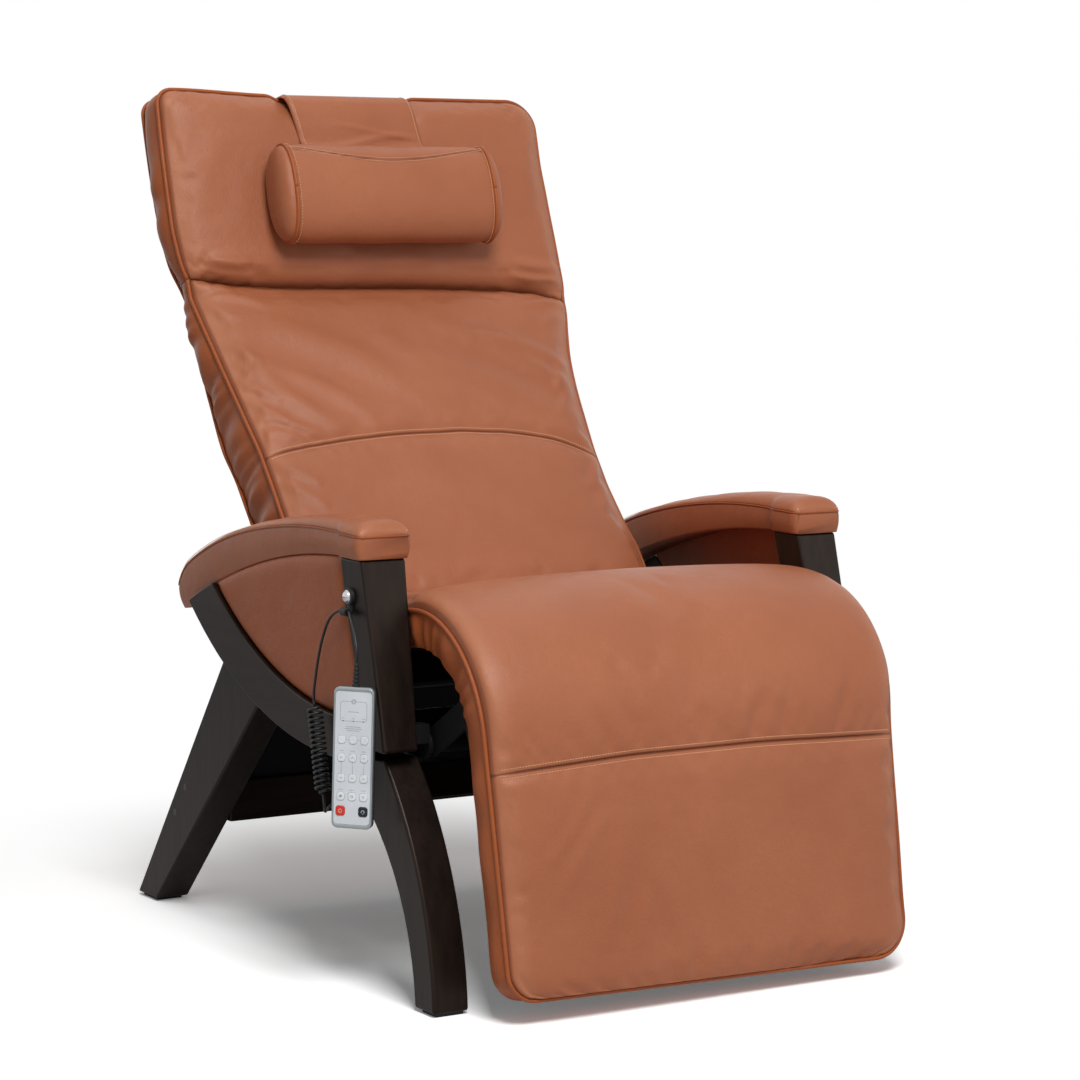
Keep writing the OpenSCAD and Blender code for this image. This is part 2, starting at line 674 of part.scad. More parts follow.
module leg_drive() {
    color(black) at_origin() {
        translate([-drive_x - drive_w / 2, -92, leg_rail_z - drive_h])
            cube([drive_w, front_tube[0] + 8 + 92, drive_h]);
        translate([-drive_x, front_tube[0] - front_tube_d / 2 - 4 - leg_motor_len,
            leg_rail_z - drive_h - leg_motor_d / 2 - 2]) rotate([-90, 0, 0])
            cylinder(d = leg_motor_d, h = leg_motor_len);
        translate([-drive_x - 8, front_tube[0] - front_tube_d / 2 - 34,
            leg_rail_z - drive_h - leg_motor_d / 2 - 2]) cube([16, 22, leg_motor_d / 2 + 3]);
    }
}
module leg_carriage() {
    color(silver) at_origin() drive_fork(-drive_x, knee_crank, leg_rail_z);
}

// ---------- arms ----------
module post_outline() {
    r = 5;
    polygon(concat(
        [post_front_top, [-30, 421]],
        arc_pts([post_front_foot[0] + 1.27 * r, post_foot_z + r], r, 166, 270, 6),
        arc3(post_rear_foot, post_rear_mid, post_rear_top, 10)));
}
// Everything behind the post
module behind_post() {
    polygon(concat(arc3(post_rear_foot, post_rear_mid, post_rear_top, 10),
        [[68, 600], [700, 600], [700, 200], [-17, 200]]));
}
module arm_post(left) {
    color(wood) at_origin() side_of(left) intersection() {
        slab(post_in, post_out) difference() {
            post_outline();
            // The pad's curved underside
            translate(pad_low_c) difference() {
                circle(r = pad_low_r + 60, $fn = 360);
                circle(r = pad_low_r - pad_seat_gap, $fn = 720);
            }
        }
        translate([0, 100, 0]) rotate([90, 0, 0]) linear_extrude(200)
            polygon([[post_in, post_top_z + 20], [post_in, post_top_z],
                [post_in_at(post_foot_z), post_foot_z - 1], [post_out, post_foot_z - 1],
                [post_out, post_top_z + 20]]);
    }
}
module arm_post_left() { arm_post(true); }
module arm_post_right() { arm_post(false); }

// Ring between the two arcs of the rail, from the post to its rear end
module rail_outline() {
    y_end = 500;
    y_start = -16;
    low = [for (i = [0:24]) let (y = y_start + (y_end - y_start) * i / 24)
        [y, circle_z(rail_low_c, rail_low_r, y, -1)]];
    top = [for (i = [24:-1:0]) let (y = y_start + (430 - y_start) * i / 24)
        [y, circle_z(rail_top_c, rail_top_r, y, -1)]];
    intersection() {
        polygon(concat(low, [[506, 462]], top));
        pad_zone(pad_seat_gap);
    }
}
// Everything under the arm pad, less a gap
module pad_zone(gap) { translate(pad_low_c) circle(r = pad_low_r - gap, $fn = 720); }
module arm_rail(left) {
    color(wood) at_origin() side_of(left) slab(rail_in, rail_out) intersection() {
        rail_outline();
        behind_post();
    }
}
module arm_rail_left() { arm_rail(true); }
module arm_rail_right() { arm_rail(false); }
module side_panel(left) {
    color(leather) at_origin() side_of(left) slab(rail_in, panel_out) intersection() {
        translate(rail_top_c) circle(r = rail_top_r - seat_gap, $fn = 720);
        pad_zone(pad_seat_gap);
        behind_post();
    }
}
module side_panel_left() { side_panel(true); }
module side_panel_right() { side_panel(false); }

arm_pad_len = 568;
module arm_pad(left) {
    // [y, half width share of the block or rear, crown share]
    front = [[0, 0.94, 0.35], [4, 0.985, 0.75], [12, 1, 1], [32, 1, 1], [52, 1, 1]];
    rear = [[66, 1.08, 1], [80, 1, 1], [130, 1, 1], [190, 1, 1], [250, 1, 1], [310, 1, 1],
        [370, 0.98, 1], [425, 0.95, 1], [475, 0.88, 1], [515, 0.76, 0.95], [540, 0.58, 0.8],
        [556, 0.42, 0.6], [arm_pad_len, 0.2, 0.3]];
    top_u = [-1, -0.9, -0.6, 0, 0.6, 0.9, 1];
    stations = concat([for (q = front) [q[0], q[1] * arm_pad_w / 2, q[2]]],
        [for (q = rear) [q[0], q[1] * arm_pad_rear_w / 2, q[2]]]);
    rings = [for (q = stations)
        let (
            y = q[0],
            w = q[1],
            a = -asin((y - pad_low_c[0]) / pad_low_r),
            h = arm_pad_side + lookup(y, [[0, 0], [60, 1], [236, 11], [416, 22], [500, 24],
                [arm_pad_len, 10]]),
            c = arm_pad_crown * lookup(y, [[0, 1], [60, 1], [236, 0.7], [416, 0.55], [arm_pad_len, 0.4]]),
            low = y > 500 ? 12 * pow((y - 500) / (arm_pad_len - 500), 2) : 0
        )
        ring([y, circle_z(pad_low_c, pad_low_r, y)], a, concat(
            [for (u = top_u) [arm_mid + u * w,
                h + c * q[2] * sqrt(1 - pow(abs(u), 3))]],
            [[arm_mid + w, (h + low) / 2], [arm_mid + w - 2, low], [arm_mid - w + 2, low],
                [arm_mid - w, (h + low) / 2]]))];
    color(leather) at_origin() side_of(left) skin(rings);
}
module arm_pad_left() { arm_pad(true); }
module arm_pad_right() { arm_pad(false); }

// ---------- base ----------
// Outline of the saber leg, up to its cut below the post
module saber_outline() {
    foot_front = polar(leg_front_c, [leg_front_c[0]
        - sqrt(pow(leg_front_r, 2) - pow(glide_h - leg_front_c[1], 2)), glide_h]);
    top_front = 180 - asin((leg_top_z - leg_front_c[1]) / leg_front_r);
    foot_rear = 180 - asin((glide_h - leg_rear_c[1]) / leg_rear_r);
    top_rear = 180 - acos((leg_rear_c[0] - leg_split_y) / leg_rear_r) ;
    polygon(concat(
        arc_pts(leg_front_c, leg_front_r, foot_front, top_front, 14),
        [[14, leg_top_z], [28, 342], [110, 398], [leg_split_y, 404]],
        arc_pts(leg_rear_c, leg_rear_r, top_rear, foot_rear, 16)));
}
module front_leg(left) {
    color(wood) at_origin() side_of(left) slab(base_in, base_out) saber_outline();
}
module front_leg_left() { front_leg(true); }
module front_leg_right() { front_leg(false); }
module rear_leg(left) {
    color(wood) at_origin() side_of(left) difference() {
        slab(base_in, base_out) polygon([
            [leg_split_y + 0.2, circle_z(leg_rear_c, leg_rear_r, leg_split_y)], [262, 322],
            rear_leg_front, [rear_leg_foot[0] - 4, glide_h], [rear_leg_foot[1] - 3, glide_h],
            rear_leg_back, [396, 408], [330, 426], [leg_split_y + 0.2, 404]]);
        rod(tilt_axis, tilt_pin_d + 2 * pin_gap, base_in - 1, base_out + 1);
    }
}
module rear_leg_left() { rear_leg(true); }
module rear_leg_right() { rear_leg(false); }
module rear_beam() {
    color(wood) at_origin()
        translate([-base_in, beam_front_y, beam_low_z]) cube([2 * base_in, beam_t, beam_h]);
}
module front_stretcher() {
    color(wood) at_origin()
        translate([-base_in, stretcher_y, stretcher_z])
            cube([2 * base_in, stretcher_t, stretcher_h]);
}
module leg_glides() {
    side = leg_t - 12;
    color(black) at_origin() both() translate([base_in + 6, 0, 0]) {
        translate([0, -152, 0]) cube([side, 34, glide_h]);
        translate([0, rear_leg_foot[0] + 6, 0]) cube([side, 46, glide_h]);
    }
}

// ---------- electrics ----------
box_size = [140, 110, 58];
box_in = 29;
box_pos = [-(seat_plate_in - box_in), 70, front_tube[1] - front_tube_d / 2 - box_size[2]];
gland = [box_pos[0], 120, box_pos[2] + 14];
module control_box() {
    color(black) at_origin() difference() {
        translate(box_pos) cube(box_size);
        // Mains inlet in the rear face
        translate([box_pos[0] + 56, box_pos[1] + box_size[1] - 16, box_pos[2] + 18])
            cube([28, 17, 20]);
        // Cord entry in the side face
        translate(gland - [1, 0, 0]) rotate([0, 90, 0]) cylinder(d = cord_d + 1, h = 9);
    }
}
module air_pump() {
    color([0.12, 0.12, 0.13]) at_origin() {
        translate([120, 70, front_tube[1] - front_tube_d / 2 - 30]) rotate([-90, 0, 0])
            cylinder(d = 60, h = 92);
        translate([100, 140, front_tube[1] - front_tube_d / 2 - 12]) cube([40, 20, 12]);
    }
}

// ---------- cord clip ----------
clip_pos = [30, 501];
clip_eye = [-(post_out + 8), 30, 482];
clip_t = 5;
module cord_clip() {
    color(black) at_origin() {
        difference() {
            union() {
                rod(clip_pos, 23, -post_out - clip_t, -post_out);
                translate([clip_eye[0], clip_eye[1] - 6, clip_eye[2]]) rotate([-90, 0, 0])
                    cylinder(d = cord_d + 7, h = 12);
                translate([-post_out - clip_t, clip_eye[1] - 6, clip_eye[2]])
                    cube([clip_t, 12, 12]);
            }
            translate([clip_eye[0], clip_eye[1] - 7, clip_eye[2]]) rotate([-90, 0, 0])
                cylinder(d = cord_d + 0.2, h = 14);
        }
    }
}
module clip_bolt() {
    color(silver) at_origin() intersection() {
        translate([-post_out - clip_t + 9, clip_pos[0], clip_pos[1]]) sphere(r = 15, $fn = 64);
        rod(clip_pos, 16, -post_out - clip_t - 8, -post_out - clip_t);
    }
}

// ---------- handset, in its own frame: X right, Z up, -Y out of the face ----------
handset_off = 27;
handset_pos = [-(post_out + handset_off), -28, 308];
handset_yaw = -45;
handset_roll = 1.6;
module in_handset() {
    at_origin() translate(handset_pos) rotate([0, 0, handset_yaw]) rotate([0, handset_roll, 0])
        children();
}
// Upright plate from y0 to y1 with rounded corners
module plate_y(y0, y1, w, h, r) {
    translate([0, y1, 0]) rotate([90, 0, 0]) linear_extrude(y1 - y0) round_rect(w, h, r);
}
front_y = -handset_d / 2;
split_y = front_y + 6;
face_y = front_y + 0.6;
face_t = 2.4;
key_depth = 4.4;
key_rows = [22.7, 0.3, -25.2, -48.2, -66.5];
module handset_back() {
    color(black) in_handset() {
        plate_y(split_y + 0.01, handset_d / 2 - 3, handset_w, handset_h, 8);
        plate_y(handset_d / 2 - 3, handset_d / 2, handset_w - 6, handset_h - 6, 6);
    }
}
module handset_bezel() {
    color(silver) in_handset() difference() {
        plate_y(front_y, split_y, handset_w, handset_h, 8);
        plate_y(front_y - 1, split_y + 1, handset_w - 2 * bezel_w, handset_h - 4 * bezel_w, 5);
    }
}
module handset_face() {
    gap = 0.1;
    color([0.93, 0.94, 0.95]) in_handset() difference() {
        union() {
            plate_y(face_y, face_y + face_t, handset_w - 2 * bezel_w - 2 * gap,
                handset_h - 4 * bezel_w - 2 * gap, 5);
            // Rim that stands on the rear shell
            difference() {
                plate_y(face_y + face_t, split_y, handset_w - 2 * bezel_w - 2 * gap,
                    handset_h - 4 * bezel_w - 2 * gap, 5);
                plate_y(face_y + face_t - 1, split_y + 1, handset_w - 2 * bezel_w - 4,
                    handset_h - 4 * bezel_w - 4, 4);
            }
        }
        for (k = [0:13]) key_hole(k);
    }
}
key_gap = 0.3;
// Column and row of each key, in the order of the key nodes
key_cells = [[-1, 1], [-1, 2], [0, 1], [0, 2], [1, 1], [1, 2], [-1, 0], [0, 0], [1, 0],
    [-1, 3], [0, 3], [1, 3], [-1, 4], [1, 4]];
function key_size(k) = key_cells[k][1] == 4 ? big_key_w : key_w;
function key_place(k) = [key_cells[k][0] * key_pitch, 0, key_rows[key_cells[k][1]]];
module key_hole(k) {
    translate(key_place(k)) plate_y(front_y - 1, split_y + 1, key_size(k) + 2 * key_gap,
        key_size(k) + 0.4 + 2 * key_gap, 3.6);
}
module key(k, shade) {
    color(shade) in_handset() translate(key_place(k))
        plate_y(face_y - key_proud, face_y - key_proud + key_depth, key_size(k),
            key_size(k) + 0.4, 3.3);
}
key_white = [0.95, 0.95, 0.96];
module key_recline_up() { key(0, key_white); }
module key_recline_down() { key(1, key_white); }
module key_legs_up() { key(2, key_white); }
module key_legs_down() { key(3, key_white); }
module key_lumbar_up() { key(4, key_white); }
module key_lumbar_down() { key(5, key_white); }
module key_preset_1() { key(6, key_white); }
module key_preset_2() { key(7, key_white); }
module key_preset_3() { key(8, key_white); }
module key_massage() { key(9, key_white); }
module key_program() { key(10, key_white); }
module key_heat() { key(11, key_white); }
module key_power() { key(12, [0.85, 0.12, 0.08]); }
module key_light() { key(13, [0.08, 0.1, 0.13]); }

relief_len = 31;
// Room for the handset to swing below the end of its cord
swing_gap = 0.7;
module cord_relief() {
    color(black) in_handset() translate([0, 0, handset_h / 2]) {
        cylinder(d = 5.6, h = relief_len - swing_gap);
        for (i = [0:5]) translate([0, 0, 1 + i * 5]) cylinder(d = 9.6 - 0.6 * i, h = 2.6);
    }
}

// ---------- cords ----------
// Handset end of the cord, in chair coordinates: up along the rolled handset
relief_reach = handset_h / 2 + relief_len;
cord_start = handset_pos + [sin(handset_roll) * relief_reach * cos(handset_yaw),
    sin(handset_roll) * relief_reach * sin(handset_yaw), cos(handset_roll) * relief_reach];
// A point this far outside the right post's outer face
function beside(p) = [-(post_out + p[0]), p[1], p[2]];
// A point this far outside the control box's cord entry
function by_gland(p) = [gland[0] - p[0], p[1], p[2]];
upper_route = concat([cord_start], [for (p = [[24.2, -30.2, 441], [23, -25, 453],
    [20, -15, 464], [16, -3, 473], [12, 9, 479], [9, 17, 482]]) beside(p)],
    [[clip_eye[0], clip_eye[1] - 6, clip_eye[2]]]);
drop_route = concat([for (i = [-6, 0, 6]) clip_eye + [0, i, 0]], [for (p = [[8, 45, 482],
    [9, 54, 479], [10, 64, 473], [11, 73, 463], [12, 80, 450], [13, 87, 434],
    [14, 93, 414], [15, 98, 392], [16, 101, 370], [16, 101, 362]]) beside(p)]);
coil_top = beside([16, 101, 362]);
coil_low = beside([20, 68, 240]);
tail_route = concat([coil_low], [for (p = [[20.1, 66.9, 236], [19.5, 67, 230], [17, 71, 225],
    [12, 79, 222], [5, 90, 221], [-4, 101, 222], [-15, 110, 224], [-28, 116, 227]]) beside(p)],
    [for (p = [[60, 120, 230], [44, 122, 233], [32, 122.5, 239], [22, 122, 247.5],
    [14, 121, 255.5], [7, 120, 260.5]]) by_gland(p)], [gland, gland + [7.5, 0, 0]]);

function unit(v) = v / norm(v);
// Ring of m sides round point p, square to direction t
function tube_ring(p, t, r, m, twist = 0) =
    let (
        ref = abs(t[2]) > 0.8 ? [1, 0, 0] : [0, 0, 1],
        u = unit(cross(ref, t)),
        v = cross(t, u)
    )
    [for (i = [0:m - 1]) p + r * (cos(-i * 360 / m + twist) * u + sin(-i * 360 / m + twist) * v)];
function tangent(path, i) =
    unit(path[min(i + 1, len(path) - 1)] - path[max(i - 1, 0)]);
module tube(path, r, m) {
    skin([for (i = [0:len(path) - 1]) tube_ring(path[i], tangent(path, i), r, m)]);
}
module cord_upper() { color(black) at_origin() tube(upper_route, cord_d / 2, 8); }
module cord_drop() { color(black) at_origin() tube(drop_route, cord_d / 2, 8); }
module cord_tail() { color(black) at_origin() tube(tail_route, cord_d / 2, 8); }

// Curly cord: a helix of coil_turns curls round the line from coil_top to coil_low
coil_axis = unit(coil_low - coil_top);
coil_u = unit(cross([1, 0, 0], coil_axis));
coil_v = cross(coil_axis, coil_u);
coil_r = (coil_d - cord_d) / 2;
coil_end = cord_d;
coil_run = norm(coil_low - coil_top) - 4 * coil_end;
curl_rings = 8;
function helix_at(k) =
    let (
        turn = k / curl_rings,
        near = min(turn, coil_turns - turn),
        r = coil_r * min(1, near * 2)
    )
    coil_top + coil_axis * (2 * coil_end + coil_run * k / (curl_rings * coil_turns))
        + r * (cos(360 * turn) * coil_u + sin(360 * turn) * coil_v);
coil_path = concat([coil_top, coil_top + coil_axis * coil_end],
    [for (k = [0:curl_rings * coil_turns]) helix_at(k)],
    [coil_low - coil_axis * coil_end, coil_low]);
module cord_coil() {
    n = len(coil_path);
    rings = [for (i = [0:n - 1])
        let (
            t = i < 2 || i > n - 3 ? coil_axis : tangent(coil_path, i),
            u = unit(cross(coil_v, t)),
            v = cross(t, u)
        )
        [for (j = [0:5]) coil_path[i] + cord_d / 2 * (cos(-60 * j) * u + sin(-60 * j) * v)]];
    color(black) at_origin() skin(rings);
}
coil_pitch = coil_run / coil_turns;
least = min([for (i = [16:32], j = [i + 5:min(i + 12, len(coil_path) - 1)])
    norm(coil_path[i] - coil_path[j])]) - cord_d;
echo(str("least gap between curls ", least, " mm"));

front_leg_left();
front_leg_right();
rear_leg_left();
rear_leg_right();
rear_beam();
front_stretcher();
leg_glides();
tilt_drive();
tilt_carriage();
seat_frame();
seat_pan();
seat_cushion();
arm_post_left();
arm_post_right();
arm_rail_left();
arm_rail_right();
side_panel_left();
side_panel_right();
arm_pad_left();
arm_pad_right();
control_box();
air_pump();
cord_clip();
clip_bolt();
back_drive();
leg_drive();
back_carriage();
leg_carriage();
back_frame();
back_shell();
back_cushion();
head_cushion();
air_cells();
strap_tail();
pillow();
pillow_strap();
leg_frame();
leg_cushion();
handset_back();
handset_bezel();
handset_face();
cord_relief();
key_recline_up();
key_recline_down();
key_legs_up();
key_legs_down();
key_lumbar_up();
key_lumbar_down();
key_preset_1();
key_preset_2();
key_preset_3();
key_massage();
key_program();
key_heat();
key_power();
key_light();
cord_upper();
cord_drop();
cord_coil();
cord_tail();
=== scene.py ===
"""Looks of a zero-gravity massage recliner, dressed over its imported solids.

Outlines are in millimetres in the chair's side plane, as (y, z) pairs with y = 0 at the
front of the arm pads, and ``row`` turns them into metres of the row frame. Each sub-assembly
is a class that holds its sizes and builds and dresses its pieces.
"""

from __future__ import annotations

import logging
import math
from dataclasses import dataclass
from enum import Enum
from typing import Callable, Sequence

import bmesh
import bpy
import numpy as np
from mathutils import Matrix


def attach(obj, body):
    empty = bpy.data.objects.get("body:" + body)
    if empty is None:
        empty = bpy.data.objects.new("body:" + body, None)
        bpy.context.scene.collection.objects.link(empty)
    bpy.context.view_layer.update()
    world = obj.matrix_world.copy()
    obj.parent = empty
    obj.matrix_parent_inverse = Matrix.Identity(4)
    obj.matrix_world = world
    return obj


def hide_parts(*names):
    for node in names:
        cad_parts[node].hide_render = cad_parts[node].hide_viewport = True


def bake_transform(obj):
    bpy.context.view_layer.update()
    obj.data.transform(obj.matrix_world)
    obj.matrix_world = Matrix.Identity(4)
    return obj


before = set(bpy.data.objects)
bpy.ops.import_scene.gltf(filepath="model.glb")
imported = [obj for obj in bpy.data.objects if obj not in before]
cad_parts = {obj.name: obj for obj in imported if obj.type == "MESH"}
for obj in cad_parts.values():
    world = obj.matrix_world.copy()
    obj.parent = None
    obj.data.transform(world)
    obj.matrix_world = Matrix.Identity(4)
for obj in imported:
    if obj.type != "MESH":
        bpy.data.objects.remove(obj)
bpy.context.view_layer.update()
LOG = logging.getLogger("recliner")
Array = np.ndarray
Pair = tuple[float, float]
Colour = tuple[float, float, float]

Table = tuple[tuple[float, ...], tuple[float, ...]]
Line = tuple[Pair, ...]
Place = tuple[float, float, float]

# Depth, in chair millimetres, that stands at y = 0 of the row frame.
DEPTH_MID = 257.0


class Side(Enum):
    """Side of the chair as the sitter has it, and the sign of x there."""

    LEFT = 1.0
    RIGHT = -1.0

    @property
    def word(self) -> str:
        """The side's name within a piece's name."""
        return self.name.lower()


# ---------- arithmetic ----------
def row(x: Array | float, y: Array | float, z: Array | float) -> Array:
    """Row-frame points in metres from chair millimetres."""
    x, y, z = np.broadcast_arrays(x, y, z)
    return np.stack([x, y - DEPTH_MID, z], axis=-1) * 0.001


def srgb(red: float, green: float, blue: float) -> Colour:
    """Linear colour from the 0 to 255 values that a screen shows.

    Args:
        red: red value.
        green: green value.
        blue: blue value.

    Returns:
        The linear colour.
    """
    value = np.array([red, green, blue]) / 255.0
    linear = np.where(value <= 0.04045, value / 12.92, ((value + 0.055) / 1.055) ** 2.4)
    return tuple(float(v) for v in linear)


def ease(low: float, high: float, x: Array | float) -> Array:
    """Smooth step: 0 at low, 1 at high, level at both ends."""
    t = np.clip((np.asarray(x, float) - low) / (high - low), 0.0, 1.0)
    return t * t * (3.0 - 2.0 * t)


def curve(x: Array, at: Array, value: Array, slope: Array) -> Array:
    """Cubic Hermite pieces through knots, level outside them.

    Args:
        x: where to read the curve.
        at: places of the knots, rising.
        value: values at the knots, along the first axis.
        slope: slopes at the knots.

    Returns:
        The values at x, in x's shape followed by that of one value.
    """
    x = np.clip(np.asarray(x, float), at[0], at[-1])
    i = np.clip(np.searchsorted(at, x, side="right") - 1, 0, len(at) - 2)
    more = x.shape + (1,) * (value.ndim - 1)
    h = (at[i + 1] - at[i]).reshape(more)
    t = (x - at[i]).reshape(more) / h
    return (
        (2 * t**3 - 3 * t**2 + 1) * value[i]
        + (t**3 - 2 * t**2 + t) * h * slope[i]
        + (3 * t**2 - 2 * t**3) * value[i + 1]
        + (t**3 - t**2) * h * slope[i + 1]
    )


def smooth_table(x: Array | float, xs: Sequence[float], ys: Sequence[float]) -> Array:
    """Smooth curve through a short table that never overshoots it.

    The slope at a knot is the harmonic mean of the steps beside it, and 0 at a turning point.

    Args:
        x: where to read the curve.
        xs: places of the table, rising.
        ys: values there.

    Returns:
        The values at x.
    """
    at, value = np.asarray(xs, float), np.asarray(ys, float)
    step = np.diff(value) / np.diff(at)
    before, after = step[:-1], step[1:]
    both = np.where(before + after == 0, 1.0, before + after)
    inner = np.where(before * after > 0, 2 * before * after / both, 0.0)
    return curve(x, at, value, np.concatenate([step[:1], inner, step[-1:]]))


def corner(radius: float, d: Array) -> Array:
    """How far a rounded corner has come in, at distance d from the end of a side."""
    left = radius - np.clip(d, 0.0, radius)
    return radius - np.sqrt(np.maximum(radius * radius - left * left, 0.0))


def through(points: Array, count: int) -> Array:
    """Smooth path of a number of points through a few, by their distance along the chords.

    Args:
        points: the few points.
        count: how many to give.

    Returns:
        The path's points.
    """
    run = np.concatenate([[0.0], np.cumsum(np.linalg.norm(np.diff(points, axis=0), axis=1))])
    at = np.linspace(0.0, run[-1], count)
    return curve(at, run, points, np.gradient(points, run, axis=0))


def evenly(path: Array, pitch: float) -> tuple[Array, Array]:
    """Points a pitch apart along a path.

    Args:
        path: the path's points.
        pitch: distance between two points, in the path's unit.

    Returns:
        The points, and their places as fractions of the path's index range.
    """
    run = np.concatenate([[0.0], np.cumsum(np.linalg.norm(np.diff(path, axis=0), axis=1))])
    count = max(2, int(run[-1] / pitch))
    at = (np.arange(count) + 0.5) * run[-1] / count
    index = np.interp(at, run, np.arange(len(path)))
    points = np.stack([np.interp(at, run, path[:, k]) for k in range(3)], -1)
    return points, index


def unit(v: Array) -> Array:
    """Vectors of length one."""
    return v / np.maximum(np.linalg.norm(v, axis=-1, keepdims=True), 1e-12)


def carried_frames(path: Array) -> tuple[Array, Array]:
    """Two directions square to a path, carried along it without twist, station by station.

    Args:
        path: the path's points.

    Returns:
        A direction to the side and one upwards, for each point.
    """
    tangent = unit(np.gradient(path, axis=0))
    side = np.zeros_like(path)
    start = np.eye(3)[np.argmin(np.abs(tangent[0]))]
    side[0] = unit(np.cross(tangent[0], start))
    for i in range(1, len(path)):
        side[i] = unit(side[i - 1] - tangent[i] * (side[i - 1] @ tangent[i]))
    return side, np.cross(tangent, side)


# ---------- meshes ----------
class Shape:
    """Vertices and faces of one piece, gathered grid by grid."""

    def __init__(self) -> None:
        """Starts with nothing."""
        self._points: list[Array] = []
        self._wear_and_painted_shade: list[Array] = []
        self._faces: list[list[int]] = []
        self._finish: list[int] = []
        self._smooth: list[bool] = []
        self._count = 0

    def add(self, points: Array, wear_and_painted_shade: Array | float = 0.0) -> Array:
        """Adds points.

        Args:
            points: an array of any grid shape, with the three coordinates last.
            wear_and_painted_shade: how rubbed the surface is there, or below 0 how much shade is
                painted there in a seam or crease.

        Returns:
            The points' indices, in the grid's shape.
        """
        shape = points.shape[:-1]
        size = int(np.prod(shape))
        index = np.arange(size).reshape(shape) + self._count
        self._points.append(points.reshape(-1, 3))
        self._wear_and_painted_shade.append(np.broadcast_to(wear_and_painted_shade, shape).ravel())
        self._count += size
        return index

    def faces(self, faces: Array, finish: int = 0, smooth: bool = True) -> None:
        """Adds faces given as an array of vertex indices, one face a row.

        Args:
            faces: the indices.
            finish: number of the faces' material.
            smooth: whether they are shaded smooth.
        """
        self._faces += faces.tolist()
        self._finish += [finish] * len(faces)
        self._smooth += [smooth] * len(faces)

    def skin(
        self, index: Array, wrap: tuple[bool, bool] = (False, False), finish: int = 0
    ) -> None:
        """Four-sided faces between the neighbours of an index grid, wrapped round if asked.

        Args:
            index: the index grid.
            wrap: whether its last row and its last column join the first.
            finish: number of the faces' material.
        """
        grid = np.concatenate([index, index[:1]]) if wrap[0] else index
        grid = np.concatenate([grid, grid[:, :1]], axis=1) if wrap[1] else grid
        quads = np.stack([grid[:-1, :-1], grid[:-1, 1:], grid[1:, 1:], grid[1:, :-1]], -1)
        self.faces(quads.reshape(-1, 4), finish)

    def cap(self, ring: Array, finish: int = 0, smooth: bool = False) -> None:
        """One flat face over a ring of indices."""
        self.faces(ring[None, :], finish, smooth)

    def move(self, change: Callable[[Array], Array]) -> None:
        """Puts every point where the given change takes it."""
        self._points = [change(p) for p in self._points]

    def build(
        self, name: str, *finishes: bpy.types.Material, weld: float = 1e-5
    ) -> bpy.types.Object:
        """Makes the object.

        Args:
            name: the piece's name.
            finishes: its materials, in the order of the faces' finish numbers.
            weld: distance under which vertices are merged, in metres.

        Returns:
            The new object, at the origin, with its faces outwards.
        """
        mesh = bpy.data.meshes.new(name)
        mesh.from_pydata(np.concatenate(self._points).tolist(), [], self._faces)
        wear_and_painted_shade = np.concatenate(self._wear_and_painted_shade).astype(np.float32)
        mesh.attributes.new("wear_and_painted_shade", "FLOAT", "POINT").data.foreach_set("value", wear_and_painted_shade)
        mesh.polygons.foreach_set("material_index", self._finish)
        mesh.polygons.foreach_set("use_smooth", self._smooth)
        work = bmesh.new()
        work.from_mesh(mesh)
        bmesh.ops.remove_doubles(work, verts=work.verts, dist=weld)
        loose = [v for v in work.verts if not v.link_faces]
        bmesh.ops.delete(work, geom=loose, context="VERTS")
        bmesh.ops.recalc_face_normals(work, faces=work.faces)
        work.to_mesh(mesh)
        work.free()
        for finish in finishes:
            mesh.materials.append(finish)
        piece = bpy.data.objects.new(name, mesh)
        bpy.context.scene.collection.objects.link(piece)
        LOG.info("%s: %d faces", name, len(mesh.polygons))
        return piece


def border_of(grid: Array) -> Array:
    """A grid's border: down its first column, along its last row, up and back again."""
    return np.concatenate([grid[:, 0], grid[-1, 1:], grid[-2::-1, -1], grid[0, -2:0:-1]])


def tube_into(
    shape: Shape, path: Array, radius: Array | float, sides: int, finish: int = 0
) -> None:
    """Adds a tube: a circle of the given radius carried square to a path, with closed ends.

    Args:
        shape: the piece that it joins.
        path: middle line.
        radius: one radius, or one for each point.
        sides: points round the circle.
        finish: number of its material.
    """
    across, up = carried_frames(path)
    angle = np.arange(sides) * 2 * math.pi / sides
    radius = np.broadcast_to(radius, (len(path),))[:, None, None]
    c, d = np.cos(angle)[None, :, None], np.sin(angle)[None, :, None]
    index = shape.add(path[:, None] + radius * (across[:, None] * c + up[:, None] * d))
    shape.skin(index, wrap=(False, True), finish=finish)
    shape.cap(index[0], finish)
    shape.cap(index[-1], finish)


